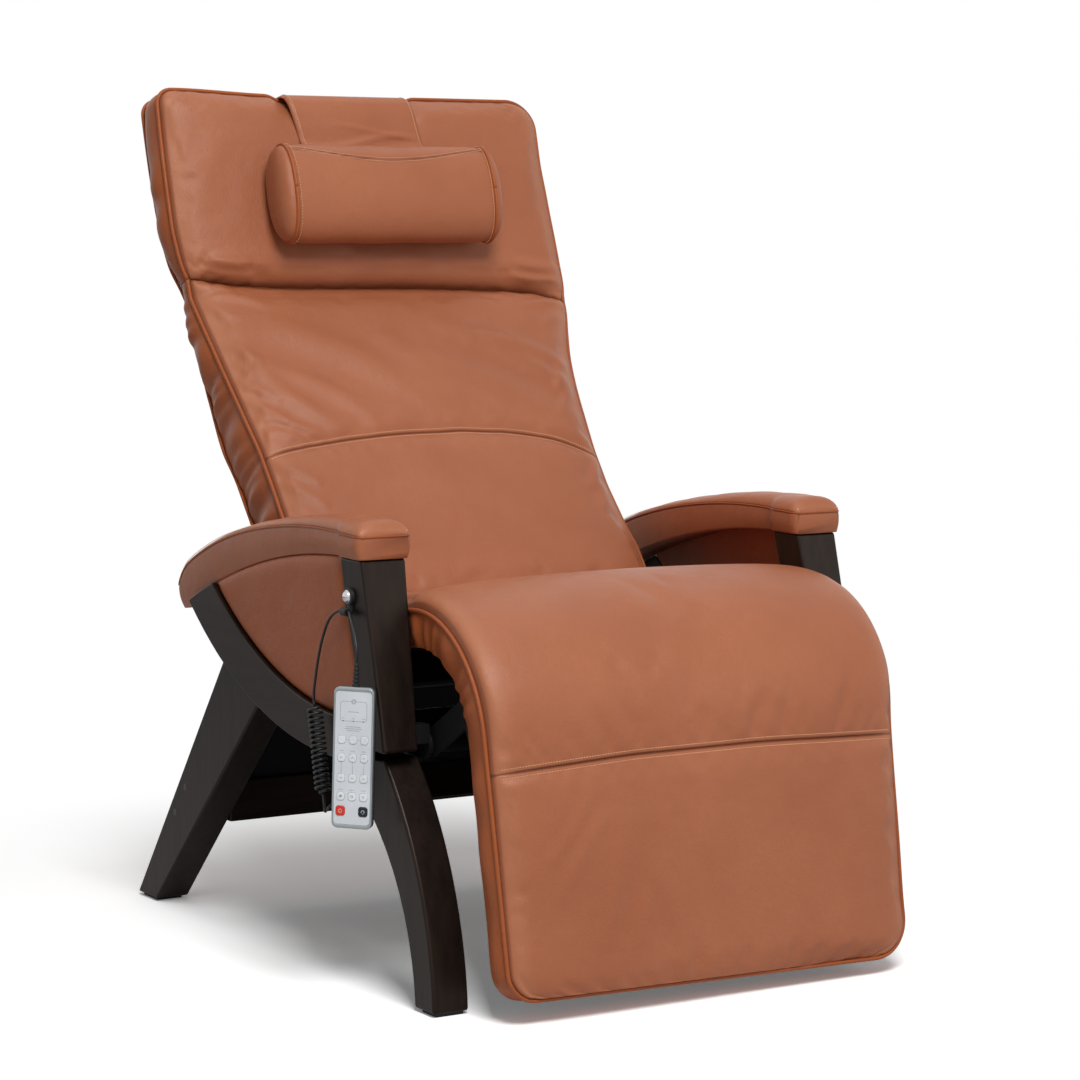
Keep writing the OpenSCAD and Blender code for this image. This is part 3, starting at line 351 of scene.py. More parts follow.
def stitches_into(shape: Shape, path: Array, normal: Array, pitch: float = 0.0038) -> None:
    """Adds a row of stitches: short rounded threads along a path, half sunk in the leather.

    Each thread is a grid of two rings of five points and its two tips, a third shorter than
    the pitch, laid along the path's direction.

    Args:
        shape: the piece that they join.
        path: the seam's points.
        normal: direction out of the leather at each.
        pitch: length from one stitch to the next, in metres.
    """
    centre, at = evenly(path, pitch)
    spot = np.arange(len(path))
    up = unit(np.stack([np.interp(at, spot, normal[:, k]) for k in range(3)], -1))
    step = np.gradient(path, axis=0)
    along = unit(np.stack([np.interp(at, spot, step[:, k]) for k in range(3)], -1))
    side = unit(np.cross(along, up))
    turn = np.arange(5) * 2 * math.pi / 5
    long, wide, high = pitch * 0.36, 0.00066, 0.00055
    a = np.concatenate([[-long], np.full(5, -0.6 * long), np.full(5, 0.6 * long), [long]])
    b = np.concatenate([[0], np.cos(turn), np.cos(turn), [0]]) * wide
    c = np.concatenate([[-0.3], np.sin(turn), np.sin(turn), [-0.3]]) * high
    points = (
        centre[:, None]
        + a[None, :, None] * along[:, None]
        + b[None, :, None] * side[:, None]
        + c[None, :, None] * up[:, None]
    )
    index = shape.add(points)
    k, nxt = np.arange(5), (np.arange(5) + 1) % 5
    shape.faces(index[:, np.stack([1 + k, 1 + nxt, 6 + nxt, 6 + k], -1)].reshape(-1, 4))
    shape.faces(index[:, np.stack([0 * k, 1 + nxt, 1 + k], -1)].reshape(-1, 3))
    shape.faces(index[:, np.stack([0 * k + 11, 6 + k, 6 + nxt], -1)].reshape(-1, 3))


def sheet_into(shape: Shape, grid: Array, thickness: float, finish: int = 0) -> None:
    """Adds a sheet: a grid of points given thickness to both sides, with rounded-over edges.

    Args:
        shape: the piece that it joins.
        grid: points of its middle.
        thickness: its thickness, in metres.
        finish: number of its material.
    """
    normal = unit(np.cross(np.gradient(grid, axis=0), np.gradient(grid, axis=1)))
    top = shape.add(grid + normal * thickness / 2)
    low = shape.add(grid - normal * thickness / 2)
    shape.skin(top, finish=finish)
    shape.skin(low, finish=finish)
    middle = border_of(grid)
    inner = np.concatenate([grid[:, 1], grid[-2, 1:], grid[-2::-1, -2], grid[1, -2:0:-1]])
    bulge = shape.add(middle + unit(middle - inner) * thickness * 0.45)
    rings = np.stack([border_of(top), bulge, border_of(low)])
    shape.skin(rings, wrap=(False, True), finish=finish)


def stack_into(
    shape: Shape, rings: Sequence[tuple[float, float, float, float]], ring_wall: bool = False
) -> None:
    """Adds a moulded plate: rounded rectangles (width, height, radius, y), skinned in order.

    A rounded rectangle is four quarter circles of eight steps round the corner centres.
    With ring_wall the last ring joins the first, and otherwise both ends are closed.

    Args:
        shape: the piece that it joins.
        rings: the rounded rectangles.
        ring_wall: whether the plate is a ring.
    """
    quarter = np.linspace(0, math.pi / 2, 9)
    angle = np.concatenate([quarter + k * math.pi / 2 for k in range(4)])
    sx = np.repeat([1, -1, -1, 1], 9)
    sz = np.repeat([1, 1, -1, -1], 9)
    rows = [
        np.stack(
            [
                sx * (w / 2 - r) + r * np.cos(angle),
                np.full(36, y),
                sz * (h / 2 - r) + r * np.sin(angle),
            ],
            -1,
        )
        for w, h, r, y in rings
    ]
    index = shape.add(np.stack(rows))
    shape.skin(index, wrap=(ring_wall, True))
    if not ring_wall:
        shape.cap(index[0])
        shape.cap(index[-1])


def carry(body: str, slot: str, *parts: bpy.types.Object) -> None:
    """Puts pieces on a body."""
    for part in parts:
        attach(part, body)


def rounded_copy(
    node: str, name: str, radius: float, finish: bpy.types.Material
) -> bpy.types.Object:
    """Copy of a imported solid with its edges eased.

    Args:
        node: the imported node, which the copy then stands for.
        name: the copy's name.
        radius: radius of the eased edges, in millimetres.
        finish: its material.

    Returns:
        The copy, with normals weighted by face area so that flat faces stay flat.
    """
    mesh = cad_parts[node].data.copy()
    mesh.name = name
    work = bmesh.new()
    work.from_mesh(mesh)
    bmesh.ops.remove_doubles(work, verts=work.verts, dist=2e-5)
    bmesh.ops.dissolve_limit(
        work, angle_limit=math.radians(0.35), verts=work.verts, edges=work.edges
    )
    sharp = [e for e in work.edges if len(e.link_faces) == 2 and e.calc_face_angle() > 0.5]
    bmesh.ops.bevel(
        work, geom=sharp, offset=radius * 0.001, segments=4, profile=0.5, affect="EDGES",
        clamp_overlap=False,
    )
    for face in work.faces:
        face.smooth = True
    work.to_mesh(mesh)
    work.free()
    mesh.materials.clear()
    mesh.materials.append(finish)
    piece = bpy.data.objects.new(name, mesh)
    bpy.context.scene.collection.objects.link(piece)
    weighted = piece.modifiers.new("flat_faces", "WEIGHTED_NORMAL")
    weighted.weight = 100
    weighted.keep_sharp = True
    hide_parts(node)
    LOG.info("%s: %d faces", name, len(mesh.polygons))
    return piece


def settled(grid: Array, held: Array, outward: Array, cap: float, spare: float) -> Array:
    """How the face of a pad moves when its cover settles over the filling.

    A coarse copy of the face, every third row and column of it, is cloth with a little spare
    length, held at its border and seams and blown up from behind. Its moves, which reach the
    cap as cap times tanh(move / cap), are carried smoothly to the whole grid.

    Args:
        grid: the face's points.
        held: 1 where a seam holds the face.
        outward: a direction out of the face near its middle.
        cap: furthest move, in metres.
        spare: spare length of the cover, as a share.

    Returns:
        The move of every point of the grid.
    """
    rows = np.unique(np.linspace(0, grid.shape[0] - 1, grid.shape[0] // 3).round().astype(int))
    cols = np.unique(np.linspace(0, grid.shape[1] - 1, grid.shape[1] // 3).round().astype(int))
    coarse = grid[np.ix_(rows, cols)]
    count = coarse.shape[0] * coarse.shape[1]
    index = np.arange(count).reshape(coarse.shape[:2])
    mid = coarse[coarse.shape[0] // 2, coarse.shape[1] // 2]
    across = coarse[coarse.shape[0] // 2, coarse.shape[1] // 2 + 1] - mid
    along = coarse[coarse.shape[0] // 2 + 1, coarse.shape[1] // 2] - mid
    if np.cross(across, along) @ outward < 0:
        index = index[:, ::-1]
    quads = np.stack([index[:-1, :-1], index[:-1, 1:], index[1:, 1:], index[1:, :-1]], -1)
    mesh = bpy.data.meshes.new("settling")
    mesh.from_pydata(coarse.reshape(-1, 3).tolist(), [], quads.reshape(-1, 4).tolist())
    cover = bpy.data.objects.new("settling", mesh)
    bpy.context.scene.collection.objects.link(cover)
    pins = held[np.ix_(rows, cols)] > 0.5
    pins[[0, -1]] = True
    pins[:, [0, -1]] = True
    group = cover.vertex_groups.new(name="held")
    group.add(np.flatnonzero(pins.ravel()).tolist(), 1.0, "REPLACE")
    cloth = cover.modifiers.new("settle", "CLOTH")
    way = cloth.settings
    way.quality = 4
    way.mass = 0.3
    way.tension_stiffness = 20
    way.compression_stiffness = 20
    way.shear_stiffness = 6
    way.bending_stiffness = 1.5
    way.vertex_group_mass = "held"
    way.use_pressure = True
    way.uniform_pressure_force = 4.0
    way.shrink_min = -spare
    way.effector_weights.gravity = 0
    cloth.collision_settings.use_collision = False
    for step in range(1, 21):
        bpy.context.scene.frame_set(step)
    after = np.zeros(count * 3, np.float32)
    whole = cover.evaluated_get(bpy.context.evaluated_depsgraph_get())
    whole.data.vertices.foreach_get("co", after)
    bpy.context.scene.frame_set(1)
    bpy.data.objects.remove(cover)
    bpy.data.meshes.remove(mesh)
    move = np.nan_to_num(after.reshape(coarse.shape) - coarse)
    length = np.maximum(np.linalg.norm(move, axis=-1, keepdims=True), 1e-9)
    move = move * cap * np.tanh(length / cap) / length
    LOG.info("settled %d points, mean move %.2f mm", count, float(length.mean()) * 1000)
    for axis, knots in ((0, rows), (1, cols)):
        at = knots.astype(float)
        value = np.moveaxis(move, axis, 0)
        fine = curve(np.arange(grid.shape[axis]), at, value, np.gradient(value, at, axis=0))
        move = np.moveaxis(fine, 0, axis)
    return move


# ---------- finishes ----------
class Graph:
    """A material and a short way to write its nodes."""

    def __init__(self, name: str) -> None:
        """Starts a material with one Principled shader and Object coordinates.

        Args:
            name: the material's name.
        """
        self.material = bpy.data.materials.new(name)
        self.material.use_nodes = True
        self.tree = self.material.node_tree
        self.shader = self.tree.nodes["Principled BSDF"]
        self.place = self.tree.nodes.new("ShaderNodeTexCoord").outputs["Object"]

    def node(self, kind: str, **links: object) -> bpy.types.Node:
        """A node with its inputs linked or set.

        Args:
            kind: the node's type.
            links: its inputs by name or number, and its settings after set_.

        Returns:
            The node.
        """
        made = self.tree.nodes.new(kind)
        for key, value in links.items():
            if key.startswith("set_"):
                setattr(made, key[4:], value)
        for key, value in links.items():
            if key.startswith("set_"):
                continue
            spot = made.inputs[int(key[1:])] if key[1:].isdigit() else made.inputs[key]
            if isinstance(value, bpy.types.NodeSocket):
                self.tree.links.new(value, spot)
            else:
                spot.default_value = value
        return made

    def stretched(self, scale: tuple[float, float, float]) -> bpy.types.NodeSocket:
        """Object coordinates stretched by a factor an axis."""
        return self.node("ShaderNodeMapping", Vector=self.place, Scale=scale).outputs[0]

    def noise(
        self, scale: float, detail: float = 2.0, at: bpy.types.NodeSocket | None = None
    ) -> bpy.types.NodeSocket:
        """Soft noise with the given number of lumps a metre.

        Args:
            scale: lumps a metre.
            detail: octaves.
            at: coordinates to use.

        Returns:
            The output socket.
        """
        return self.node(
            "ShaderNodeTexNoise", Vector=at or self.place, Scale=scale, Detail=detail
        ).outputs["Fac"]

    def pores(self, scale: float) -> bpy.types.NodeSocket:
        """Cell pattern: distance to the nearest of randomly strewn points."""
        return self.node("ShaderNodeTexVoronoi", Vector=self.place, Scale=scale).outputs["Distance"]

    def maths(self, way: str, a: object, b: object) -> bpy.types.NodeSocket:
        """Arithmetic on two values."""
        return self.node("ShaderNodeMath", set_operation=way, _0=a, _1=b).outputs[0]

    def between(
        self, value: bpy.types.NodeSocket, low: float, high: float, out: Pair
    ) -> bpy.types.NodeSocket:
        """Value mapped from low..high to the out range, and held at its ends.

        Args:
            value: what is mapped.
            low: value that gives the first of out.
            high: value that gives the second.
            out: the range given.

        Returns:
            The output socket.
        """
        made = self.node("ShaderNodeMapRange", Value=value)
        for spot, number in zip(made.inputs[1:5], (low, high, *out)):
            spot.default_value = number
        return made.outputs[0]

    def blend(self, factor: object, a: object, b: object) -> bpy.types.NodeSocket:
        """Mix of two colours.

        Args:
            factor: share of the second colour.
            a: first colour or socket.
            b: second colour or socket.

        Returns:
            The output socket.
        """
        values = [(*v, 1.0) if isinstance(v, tuple) else v for v in (a, b)]
        return self.node(
            "ShaderNodeMix", set_data_type="RGBA", _0=factor, _6=values[0], _7=values[1]
        ).outputs[2]

    def bump(
        self, height: bpy.types.NodeSocket, depth: float, under: bpy.types.NodeSocket | None = None
    ) -> bpy.types.NodeSocket:
        """Relief of the given depth in metres, over another relief if one is given.

        Args:
            height: pattern from 0 to 1.
            depth: its relief, in metres.
            under: relief that it lies on.

        Returns:
            The output socket.
        """
        made = self.node("ShaderNodeBump", Height=height, Distance=depth, Strength=1.0)
        if under is not None:
            self.tree.links.new(under, made.inputs["Normal"])
        return made.outputs[0]

    def wire(self, **links: object) -> bpy.types.Material:
        """Sets or links the shader's inputs, with spaces written as underscores.

        Args:
            links: the inputs and what they take.

        Returns:
            The material.
        """
        for key, value in links.items():
            spot = self.shader.inputs[key.replace("_", " ")]
            if isinstance(value, bpy.types.NodeSocket):
                self.tree.links.new(value, spot)
            elif isinstance(value, tuple):
                spot.default_value = (*value, 1.0)
            else:
                spot.default_value = value
        return self.material


@dataclass(frozen=True)
class Leather:
    """Smooth semi-aniline hide: fine pores, soft mottling, rubbed edges and painted shade in seams.

    The wear_and_painted_shade attribute is above 0 where the hide is rubbed and below 0 where
    shade is painted in a seam or crease.
    """

    name: str = "cognac_leather"
    colour: Colour = srgb(167, 100, 68)
    deep: Colour = srgb(158, 92, 61)
    rubbed: Colour = srgb(187, 123, 90)
    # Colour of the painted shade in seams, creases and beside the piping.
    seam: Colour = srgb(88, 42, 22)
    roughness: Pair = (0.37, 0.46)
    sheen_tint: Colour = (1.0, 0.93, 0.86)

    def material(self) -> bpy.types.Material:
        """The finish as nodes.

        Returns:
            The material.
        """
        g = Graph(self.name)
        mottle = g.between(g.noise(7.0, 3.0), 0.35, 0.65, (0.0, 1.0))
        speck = g.between(g.noise(160.0, 2.0), 0.3, 0.7, (0.0, 0.3))
        tone = g.blend(mottle, self.deep, self.colour)
        tone = g.blend(speck, tone, self.deep)
        wear_and_painted_shade = g.node("ShaderNodeAttribute", set_attribute_name="wear_and_painted_shade").outputs["Fac"]
        tone = g.blend(g.maths("MULTIPLY", wear_and_painted_shade, 0.55), tone, self.rubbed)
        # Below 0 the attribute blends in the seam colour: painted shade.
        tone = g.blend(g.between(wear_and_painted_shade, -1.0, 0.0, (0.85, 0.0)), tone, self.seam)
        shine = g.between(g.noise(22.0, 3.0), 0.3, 0.7, self.roughness)
        hide = g.bump(g.noise(42.0, 3.0), 0.0011)
        grain = g.bump(g.pores(760.0), 0.00022, hide)
        fine = g.bump(g.noise(1500.0, 2.0), 0.00010, grain)
        return g.wire(
            Base_Color=tone, Roughness=shine, Normal=fine, Specular_IOR_Level=0.34,
            Specular_Tint=self.sheen_tint,
        )


class Grain(Enum):
    """Way the grain of a wooden piece runs."""

    UPRIGHT = (26.0, 26.0, 2.2)
    ALONG = (26.0, 2.2, 26.0)
    ACROSS = (2.2, 26.0, 26.0)


@dataclass(frozen=True)
class StainedWood:
    """Espresso stain under satin lacquer: dark, with slightly warmer grain lines."""

    grain: Grain
    dark: Colour = srgb(18, 12, 10)
    warm: Colour = srgb(29, 20, 16)

    def material(self) -> bpy.types.Material:
        """The finish as nodes.

        Returns:
            The material.
        """
        g = Graph("espresso_wood_" + self.grain.name.lower())
        along = g.stretched(self.grain.value)
        lines = g.between(g.noise(3.2, 5.0, along), 0.36, 0.62, (0.0, 1.0))
        fibre = g.noise(14.0, 3.0, along)
        tone = g.blend(lines, self.dark, self.warm)
        shine = g.between(fibre, 0.3, 0.7, (0.32, 0.40))
        relief = g.bump(fibre, 0.00010)
        return g.wire(
            Base_Color=tone, Roughness=shine, Normal=relief, Specular_IOR_Level=0.22,
            Specular_Tint=(1.0, 0.82, 0.7),
        )


@dataclass(frozen=True)
class Moulding:
    """Plastic, rubber, paint or metal: one colour, gently uneven, with a fine texture."""

    name: str
    colour: Colour
    roughness: float = 0.45
    metallic: float = 0.0
    texture: float = 900.0
    depth: float = 0.00006
    specular: float = 0.4
    stretch: tuple[float, float, float] = (1.0, 1.0, 1.0)

    def material(self) -> bpy.types.Material:
        """The finish as nodes.

        Returns:
            The material.
        """
        g = Graph(self.name)
        at = g.stretched(self.stretch)
        grain = g.noise(self.texture, 2.0, at)
        darker = tuple(0.86 * c for c in self.colour)
        tone = g.blend(g.between(g.noise(24.0, 3.0), 0.3, 0.7, (0.0, 1.0)), darker, self.colour)
        r = self.roughness
        shine = g.between(grain, 0.3, 0.7, (r * 0.88, min(1.0, r * 1.12)))
        return g.wire(
            Base_Color=tone, Roughness=shine, Normal=g.bump(grain, self.depth),
            Metallic=self.metallic, Specular_IOR_Level=self.specular,
        )


class Finishes:
    """Every finish of the chair, made once."""

    def __init__(self) -> None:
        """Makes the materials."""
        self.leather = Leather().material()
        # Darker, more saturated copy of the leather for the pads' sides and undersides, the side
        # panels and the piping: painted shade on the faces turned from the light.
        self.leather_side = Leather(
            "cognac_leather_side", srgb(163, 86, 47), srgb(154, 79, 43), srgb(184, 111, 71),
            sheen_tint=(1.0, 0.76, 0.56),
        ).material()
        self.thread = Moulding("tan_thread", srgb(228, 176, 134), 0.7, texture=2400.0).material()
        self.lining = Moulding("black_underlining", srgb(20, 20, 21), 0.9, texture=1800.0,
                               depth=0.0003, specular=0.15).material()
        self.wood = {way: StainedWood(way).material() for way in Grain}
        self.plug = Moulding("wood_plug", srgb(58, 46, 41), 0.45).material()
        self.steel = Moulding("black_steel", srgb(22, 22, 24), 0.45, texture=500.0,
                              specular=0.25).material()
        self.drive = Moulding("drive_plastic", srgb(20, 20, 22), 0.6, depth=0.00012).material()
        self.bright = Moulding("bright_steel", srgb(178, 180, 184), 0.32, 1.0, 260.0,
                               stretch=(1.0, 0.05, 1.0)).material()
        self.board = Moulding("plywood", srgb(176, 146, 108), 0.7, texture=60.0, depth=0.0003,
                              stretch=(1.0, 12.0, 12.0)).material()
        self.bladder = Moulding("air_cell_fabric", srgb(58, 58, 64), 0.8).material()
        self.box = Moulding("box_plastic", srgb(22, 22, 24), 0.65, depth=0.0002).material()
        self.rubber = Moulding("clip_rubber", srgb(20, 20, 21), 0.6, depth=0.00012).material()
        self.chrome = Moulding("polished_bolt", srgb(206, 206, 208), 0.16, 1.0, 120.0).material()
        self.cord = Moulding("cord_sheath", srgb(19, 19, 21), 0.42, texture=500.0).material()
        self.shell = Moulding("handset_shell", srgb(52, 54, 58), 0.4).material()
        self.bezel = Moulding("handset_silver", srgb(164, 171, 172), 0.34, 0.55, 900.0).material()
        self.face = Moulding("handset_white", srgb(226, 231, 236), 0.38, texture=600.0,
                             depth=0.00003).material()
        self.key = Moulding("key_white", srgb(238, 241, 244), 0.3, depth=0.00002).material()
        self.red = Moulding("key_red", srgb(228, 54, 34), 0.25, depth=0.00002).material()
        self.black = Moulding("key_black", srgb(24, 30, 40), 0.25, depth=0.00002).material()
        self.ink = Moulding("grey_print", srgb(92, 96, 102), 0.6).material()
        self.pale_ink = Moulding("pale_print", srgb(172, 177, 184), 0.6).material()
        self.white_ink = Moulding("white_print", srgb(238, 240, 242), 0.5).material()


# ---------- pads ----------
@dataclass(frozen=True)
class BackPath:
    """Line of the back and head pads: straight, a bend at the head fold, straight."""

    root: Pair = (310.0, 456.0)
    angle: float = 50.5
    length: float = 523.0
    head_angle: float = 75.3
    head_length: float = 301.0
    bend: float = 44.0

    @property
    def top(self) -> float:
        """Station of the head's top."""
        return self.length + self.head_length

    def lines(self, q: Array) -> tuple[Array, Array, Array]:
        """Side-plane point and direction at distances from the back's root.

        Args:
            q: the distances, or stations.

        Returns:
            The y, the z and the direction in radians.
        """
        low, high = math.radians(self.angle), math.radians(self.head_angle)
        below, above = np.minimum(q, self.length), np.maximum(q - self.length, 0.0)
        y = self.root[0] + below * math.cos(low) + above * math.cos(high)
        z = self.root[1] + below * math.sin(low) + above * math.sin(high)
        return y, z, low + (high - low) * ease(-self.bend, self.bend, q - self.length)

    def head_point(self, x: Array | float, s: Array | float, n: Array | float) -> Array:
        """Row-frame points by the straight line of the head.

        Args:
            x: places across.
            s: distances above the bend.
            n: heights in front of the line.

        Returns:
            The points, in metres.
        """
        a, low = math.radians(self.head_angle), math.radians(self.angle)
        y = self.root[0] + self.length * math.cos(low) + s * math.cos(a) - n * math.sin(a)
        z = self.root[1] + self.length * math.sin(low) + s * math.sin(a) + n * math.cos(a)
        return row(x, y, z)


@dataclass(frozen=True)
class SeatPath:
    """Line of the legrest and seat: up the legrest, round the knee, back along the seat."""

    knee: Pair = (-29.0, 316.0)
    radius: float = 168.0
    slope: float = 9.0
    hang: float = 10.5
    leg_length: float = 330.0
    seat_length: float = 281.0

    @property
    def arc(self) -> float:
        """Length round the knee."""
        return self.radius * math.radians(180.0 - self.hang - 90.0 + self.slope)

    @property
    def end(self) -> float:
        """Station of the seat's rear end."""
        return self.leg_length + self.arc + self.seat_length

    def lines(self, q: Array) -> tuple[Array, Array, Array]:
        """Side-plane point and direction at distances from the legrest's end.

        Args:
            q: the distances, or stations.

        Returns:
            The y, the z and the direction in radians.
        """
        first, last = math.radians(180.0 - self.hang), math.radians(90.0 - self.slope)
        beyond = q - self.leg_length
        phi = first + (last - first) * np.clip(beyond / self.arc, 0.0, 1.0)
        a = phi - math.pi / 2
        run = np.minimum(beyond, 0.0) + np.maximum(beyond - self.arc, 0.0)
        y = self.knee[0] + self.radius * np.cos(phi) + run * np.cos(a)
        z = self.knee[1] + self.radius * np.sin(phi) + run * np.sin(a)
        return y, z, a

    def point(self, q: float) -> Place:
        """Row-frame point on the line's middle at station q."""
        y, z, _ = self.lines(np.array(q))
        return tuple(row(0.0, y, z).tolist())


BACK = BackPath()
SEAT = SeatPath()


@dataclass(frozen=True)
class Fold:
    """A soft fold in leather, along a slightly bowed line on a pad, given as (x, q) points."""

    start: Pair
    end: Pair
    height: float
    width: float
    bow: float = 0.0


def folds_of(*rows: tuple[float, ...]) -> tuple[Fold, ...]:
    """Folds from rows of (x, q, end's x, end's q, height, width, bow)."""
    return tuple(Fold((a, b), (c, d), *rest) for a, b, c, d, *rest in rows)


def relief(folds: Sequence[Fold], x: Array, q: Array) -> Array:
    """Height of folds in millimetres.

    Across its line a fold is a bell curve with a shallower hollow on one side; along it, it
    rises and dies as the square root of a half sine.

    Args:
        folds: the folds.
        x: places across, in millimetres.
        q: stations.

    Returns:
        The height at each place.
    """
    total = np.zeros(np.broadcast(x, q).shape)
    for f in folds:
        run = np.array(f.end) - np.array(f.start)
        length = float(np.linalg.norm(run))
        way = run / length
        dx, dq = x - f.start[0], q - f.start[1]
        t = (dx * way[0] + dq * way[1]) / length
        d = dq * way[0] - dx * way[1] - f.bow * 4 * t * (1 - t)
        taper = np.sqrt(np.clip(np.sin(np.pi * np.clip(t, 0, 1)), 0, 1))
        hollow = 0.55 * np.exp(-(((d + 1.7 * f.width) / f.width) ** 2))
        total = total + f.height * taper * (np.exp(-((d / f.width) ** 2)) - hollow)
    return total


@dataclass(frozen=True)
class Pad:
    """A stuffed pad on a path: crowned face, piped outline, bulging sides, plain underside.

    The face is a grid over (q, u): x = u times the half width, and its height over the piping
    is the crown with its folds. The sides drop from the grid's border to the depth. At level v
    of the depth they stand u times (swell sin(pi v)^0.8 - inset v^1.5) further out, and the
    underside joins them. The tables are sizes by station: the half width between the piping
    lines, how far the sitter's left edge stands further out than the right one, the depth of
    the sides, and how far they have come in at the underside.
    """

    name: str = "pad"
    path: BackPath | SeatPath = BACK
    columns: int = 136
    folds: tuple[Fold, ...] = ()
    levels: tuple[float, ...] = (
        0.0, 0.04, 0.1, 0.18, 0.28, 0.4, 0.52, 0.64, 0.76, 0.86, 0.94, 1.0
    )
    give: float = 0.0
    spare: float = 0.012
    edge_dark: float = 0.8
    edge_rise: float = 22.0
    middle_rise: float = 8.0
    widths: Table = ((0, 1), (300, 300))
    leans: Table = ((0, 1), (0, 0))
    depths: Table = ((0, 1), (46, 46))
    insets: Table = ((0, 1), (3, 3))

    def rows(self) -> Array:
        """Stations along the path, from the open end to the piped end."""
        raise NotImplementedError

    def half_width(self, q: Array) -> Array:
        """Half width between the piping lines."""
        return smooth_table(q, *self.widths)

    def crown(self, u: Array, x: Array, q: Array) -> Array:
        """Height of the face over the piping."""
        raise NotImplementedError

    def depth(self, q: Array) -> Array:
        """Depth of the sides."""
        return smooth_table(q, *self.depths)

    def lean(self, q: Array) -> Array:
        """How far the sitter's left edge stands further out than the right one."""
        return smooth_table(q, *self.leans)

    def shift(self, x: Array, q: Array) -> Array:
        """How far a row is moved along the path at x."""
        return np.zeros(np.broadcast(x, q).shape)

    def swell(self, x: Array, q: Array) -> Array:
        """Outward bulge of the sides."""
        return np.zeros(np.shape(q))

    def end_swell(self, q: Array) -> Array:
        """Outward bulge of the end walls."""
        return np.zeros(np.shape(q))

    def inset(self, q: Array) -> Array:
        """How far the sides have come in at the underside."""
        return smooth_table(q, *self.insets)

    def gather(self, x: Array, q: Array, v: Array) -> Array:
        """Small outward ripples of the sides."""
        return np.zeros(np.broadcast(q, v).shape)

    def held(self, x: Array, q: Array) -> Array:
        """1 where a seam in the face holds the leather."""
        return np.zeros(np.broadcast(x, q).shape)

    def shade(self, x: Array, q: Array) -> Array:
        """0 to 1, how much shade is painted on the face in its seams and creases."""
        return np.zeros(np.broadcast(x, q).shape)

    def place(self, x: Array, q: Array, n: Array) -> Array:
        """Row-frame points at x, station q and height n."""
        y, z, a = self.path.lines(q)
        return row(x, y - n * np.sin(a), z + n * np.cos(a))

    def height(self, u: Array, x: Array, q: Array) -> Array:
        """Height of the face with its folds, which die out at the piping."""
        return self.crown(u, x, q) + relief(self.folds, x, q) * (1 - np.abs(u) ** 12)

    def grid(self) -> tuple[Array, Array, Array]:
        """Columns u, and the x and shifted q of every face point.

        Returns:
            The three arrays.
        """
        line = np.linspace(-1.0, 1.0, self.columns)
        u = (0.45 * line + 0.55 * np.sin(line * math.pi / 2))[None, :]
        rows = self.rows()[:, None]
        x = u * self.half_width(rows) + self.lean(rows) * ease(-0.1, 1.0, u)
        return u, x, rows + self.shift(x, rows)

    def border(self) -> tuple[Array, Array, Array, Array, Array]:
        """Closed outline: x, q, the outward direction (ox, oq) and the place across, u.

        Returns:
            The five arrays.
        """
        u, x, q = self.grid()
        bx, bq, bu = border_of(x), border_of(q), border_of(u + 0.0 * x)
        tx = np.roll(bx, -1) - np.roll(bx, 1)
        tq = np.roll(bq, -1) - np.roll(bq, 1)
        area = float(np.sum(bx * np.roll(bq, -1) - bq * np.roll(bx, -1)))
        size = np.maximum(np.hypot(tx, tq), 1e-9) * np.sign(area)
        return bx, bq, tq / size, -tx / size, bu

    def build(self, *finishes: bpy.types.Material) -> bpy.types.Object:
        """Makes the pad's mesh.

        Args:
            finishes: materials of the face, the sides and the underside.

        Returns:
            The pad, its cover settled when it has some give.
        """
        shape = Shape()
        u, x, q = self.grid()
        face = self.place(x, q, self.height(u, x, q))
        if self.give:
            mid = float(np.median(q))
            outward = (self.place(0.0, mid, 10.0) - self.place(0.0, mid, 0.0)).ravel()
            face = face + settled(face, self.held(x, q), outward, self.give, self.spare)
        inward = (1 - np.abs(u)) * 300.0
        rubbed = 0.6 * np.exp(-(((inward - 12) / 12) ** 2))
        # Painted shade in the seams, the creases and a narrow band along the piping; the band a
        # little further in is rubbed wear.
        dark = np.clip(self.shade(x, q) + self.edge_dark * np.exp(-((inward / 3) ** 2)), 0.0, 1.0)
        top = shape.add(face, rubbed * (1 - dark) - dark)
        shape.skin(top)
        bx, bq, _, oq, bu = self.border()
        v = np.array(self.levels)[1:, None]
        bulge = np.sin(math.pi * v) ** 0.8
        out = (
            self.swell(bx, bq)[None] * bulge
            - self.inset(bq)[None] * v**1.5
            + self.gather(bx[None], bq[None], v)
        )
        end = self.end_swell(bq)[None] * bulge
        side = self.place(bx + bu * out, bq + oq * end, -self.depth(bq)[None] * v)
        # Painted shade on the sides just under the piping.
        walls = shape.add(side, -0.7 * np.exp(-((v / 0.05) ** 2)) * np.ones_like(bq))
        skirt = np.concatenate([border_of(top)[None], walls])
        shape.skin(skirt, wrap=(False, True), finish=1)
        last, count, cols = walls[-1], x.shape[0], x.shape[1]
        left, right = side[-1, :count], side[-1, count + cols - 2 : 2 * count + cols - 2][::-1]
        share = np.linspace(0, 1, cols)[None, :, None]
        under = shape.add(left[:, None] * (1 - share) + right[:, None] * share)
        under[:, 0] = last[:count]
        under[-1, 1:] = last[count : count + cols - 1]
        under[:-1, -1] = last[count + cols - 1 : 2 * count + cols - 2][::-1]
        under[0, 1:-1] = last[2 * count + cols - 2 :][::-1]
        shape.skin(under, finish=2)
        return shape.build(self.name, *finishes)

    def surface(self, x: Array, q: Array, over: float) -> tuple[Array, Array]:
        """Points over the face at (x, q), and the face's normals there.

        Args:
            x: places across.
            q: stations.
            over: height over the face, in millimetres.

        Returns:
            The points and the normals.
        """
        w = self.half_width(q) + self.lean(q) * (np.asarray(x) > 0)

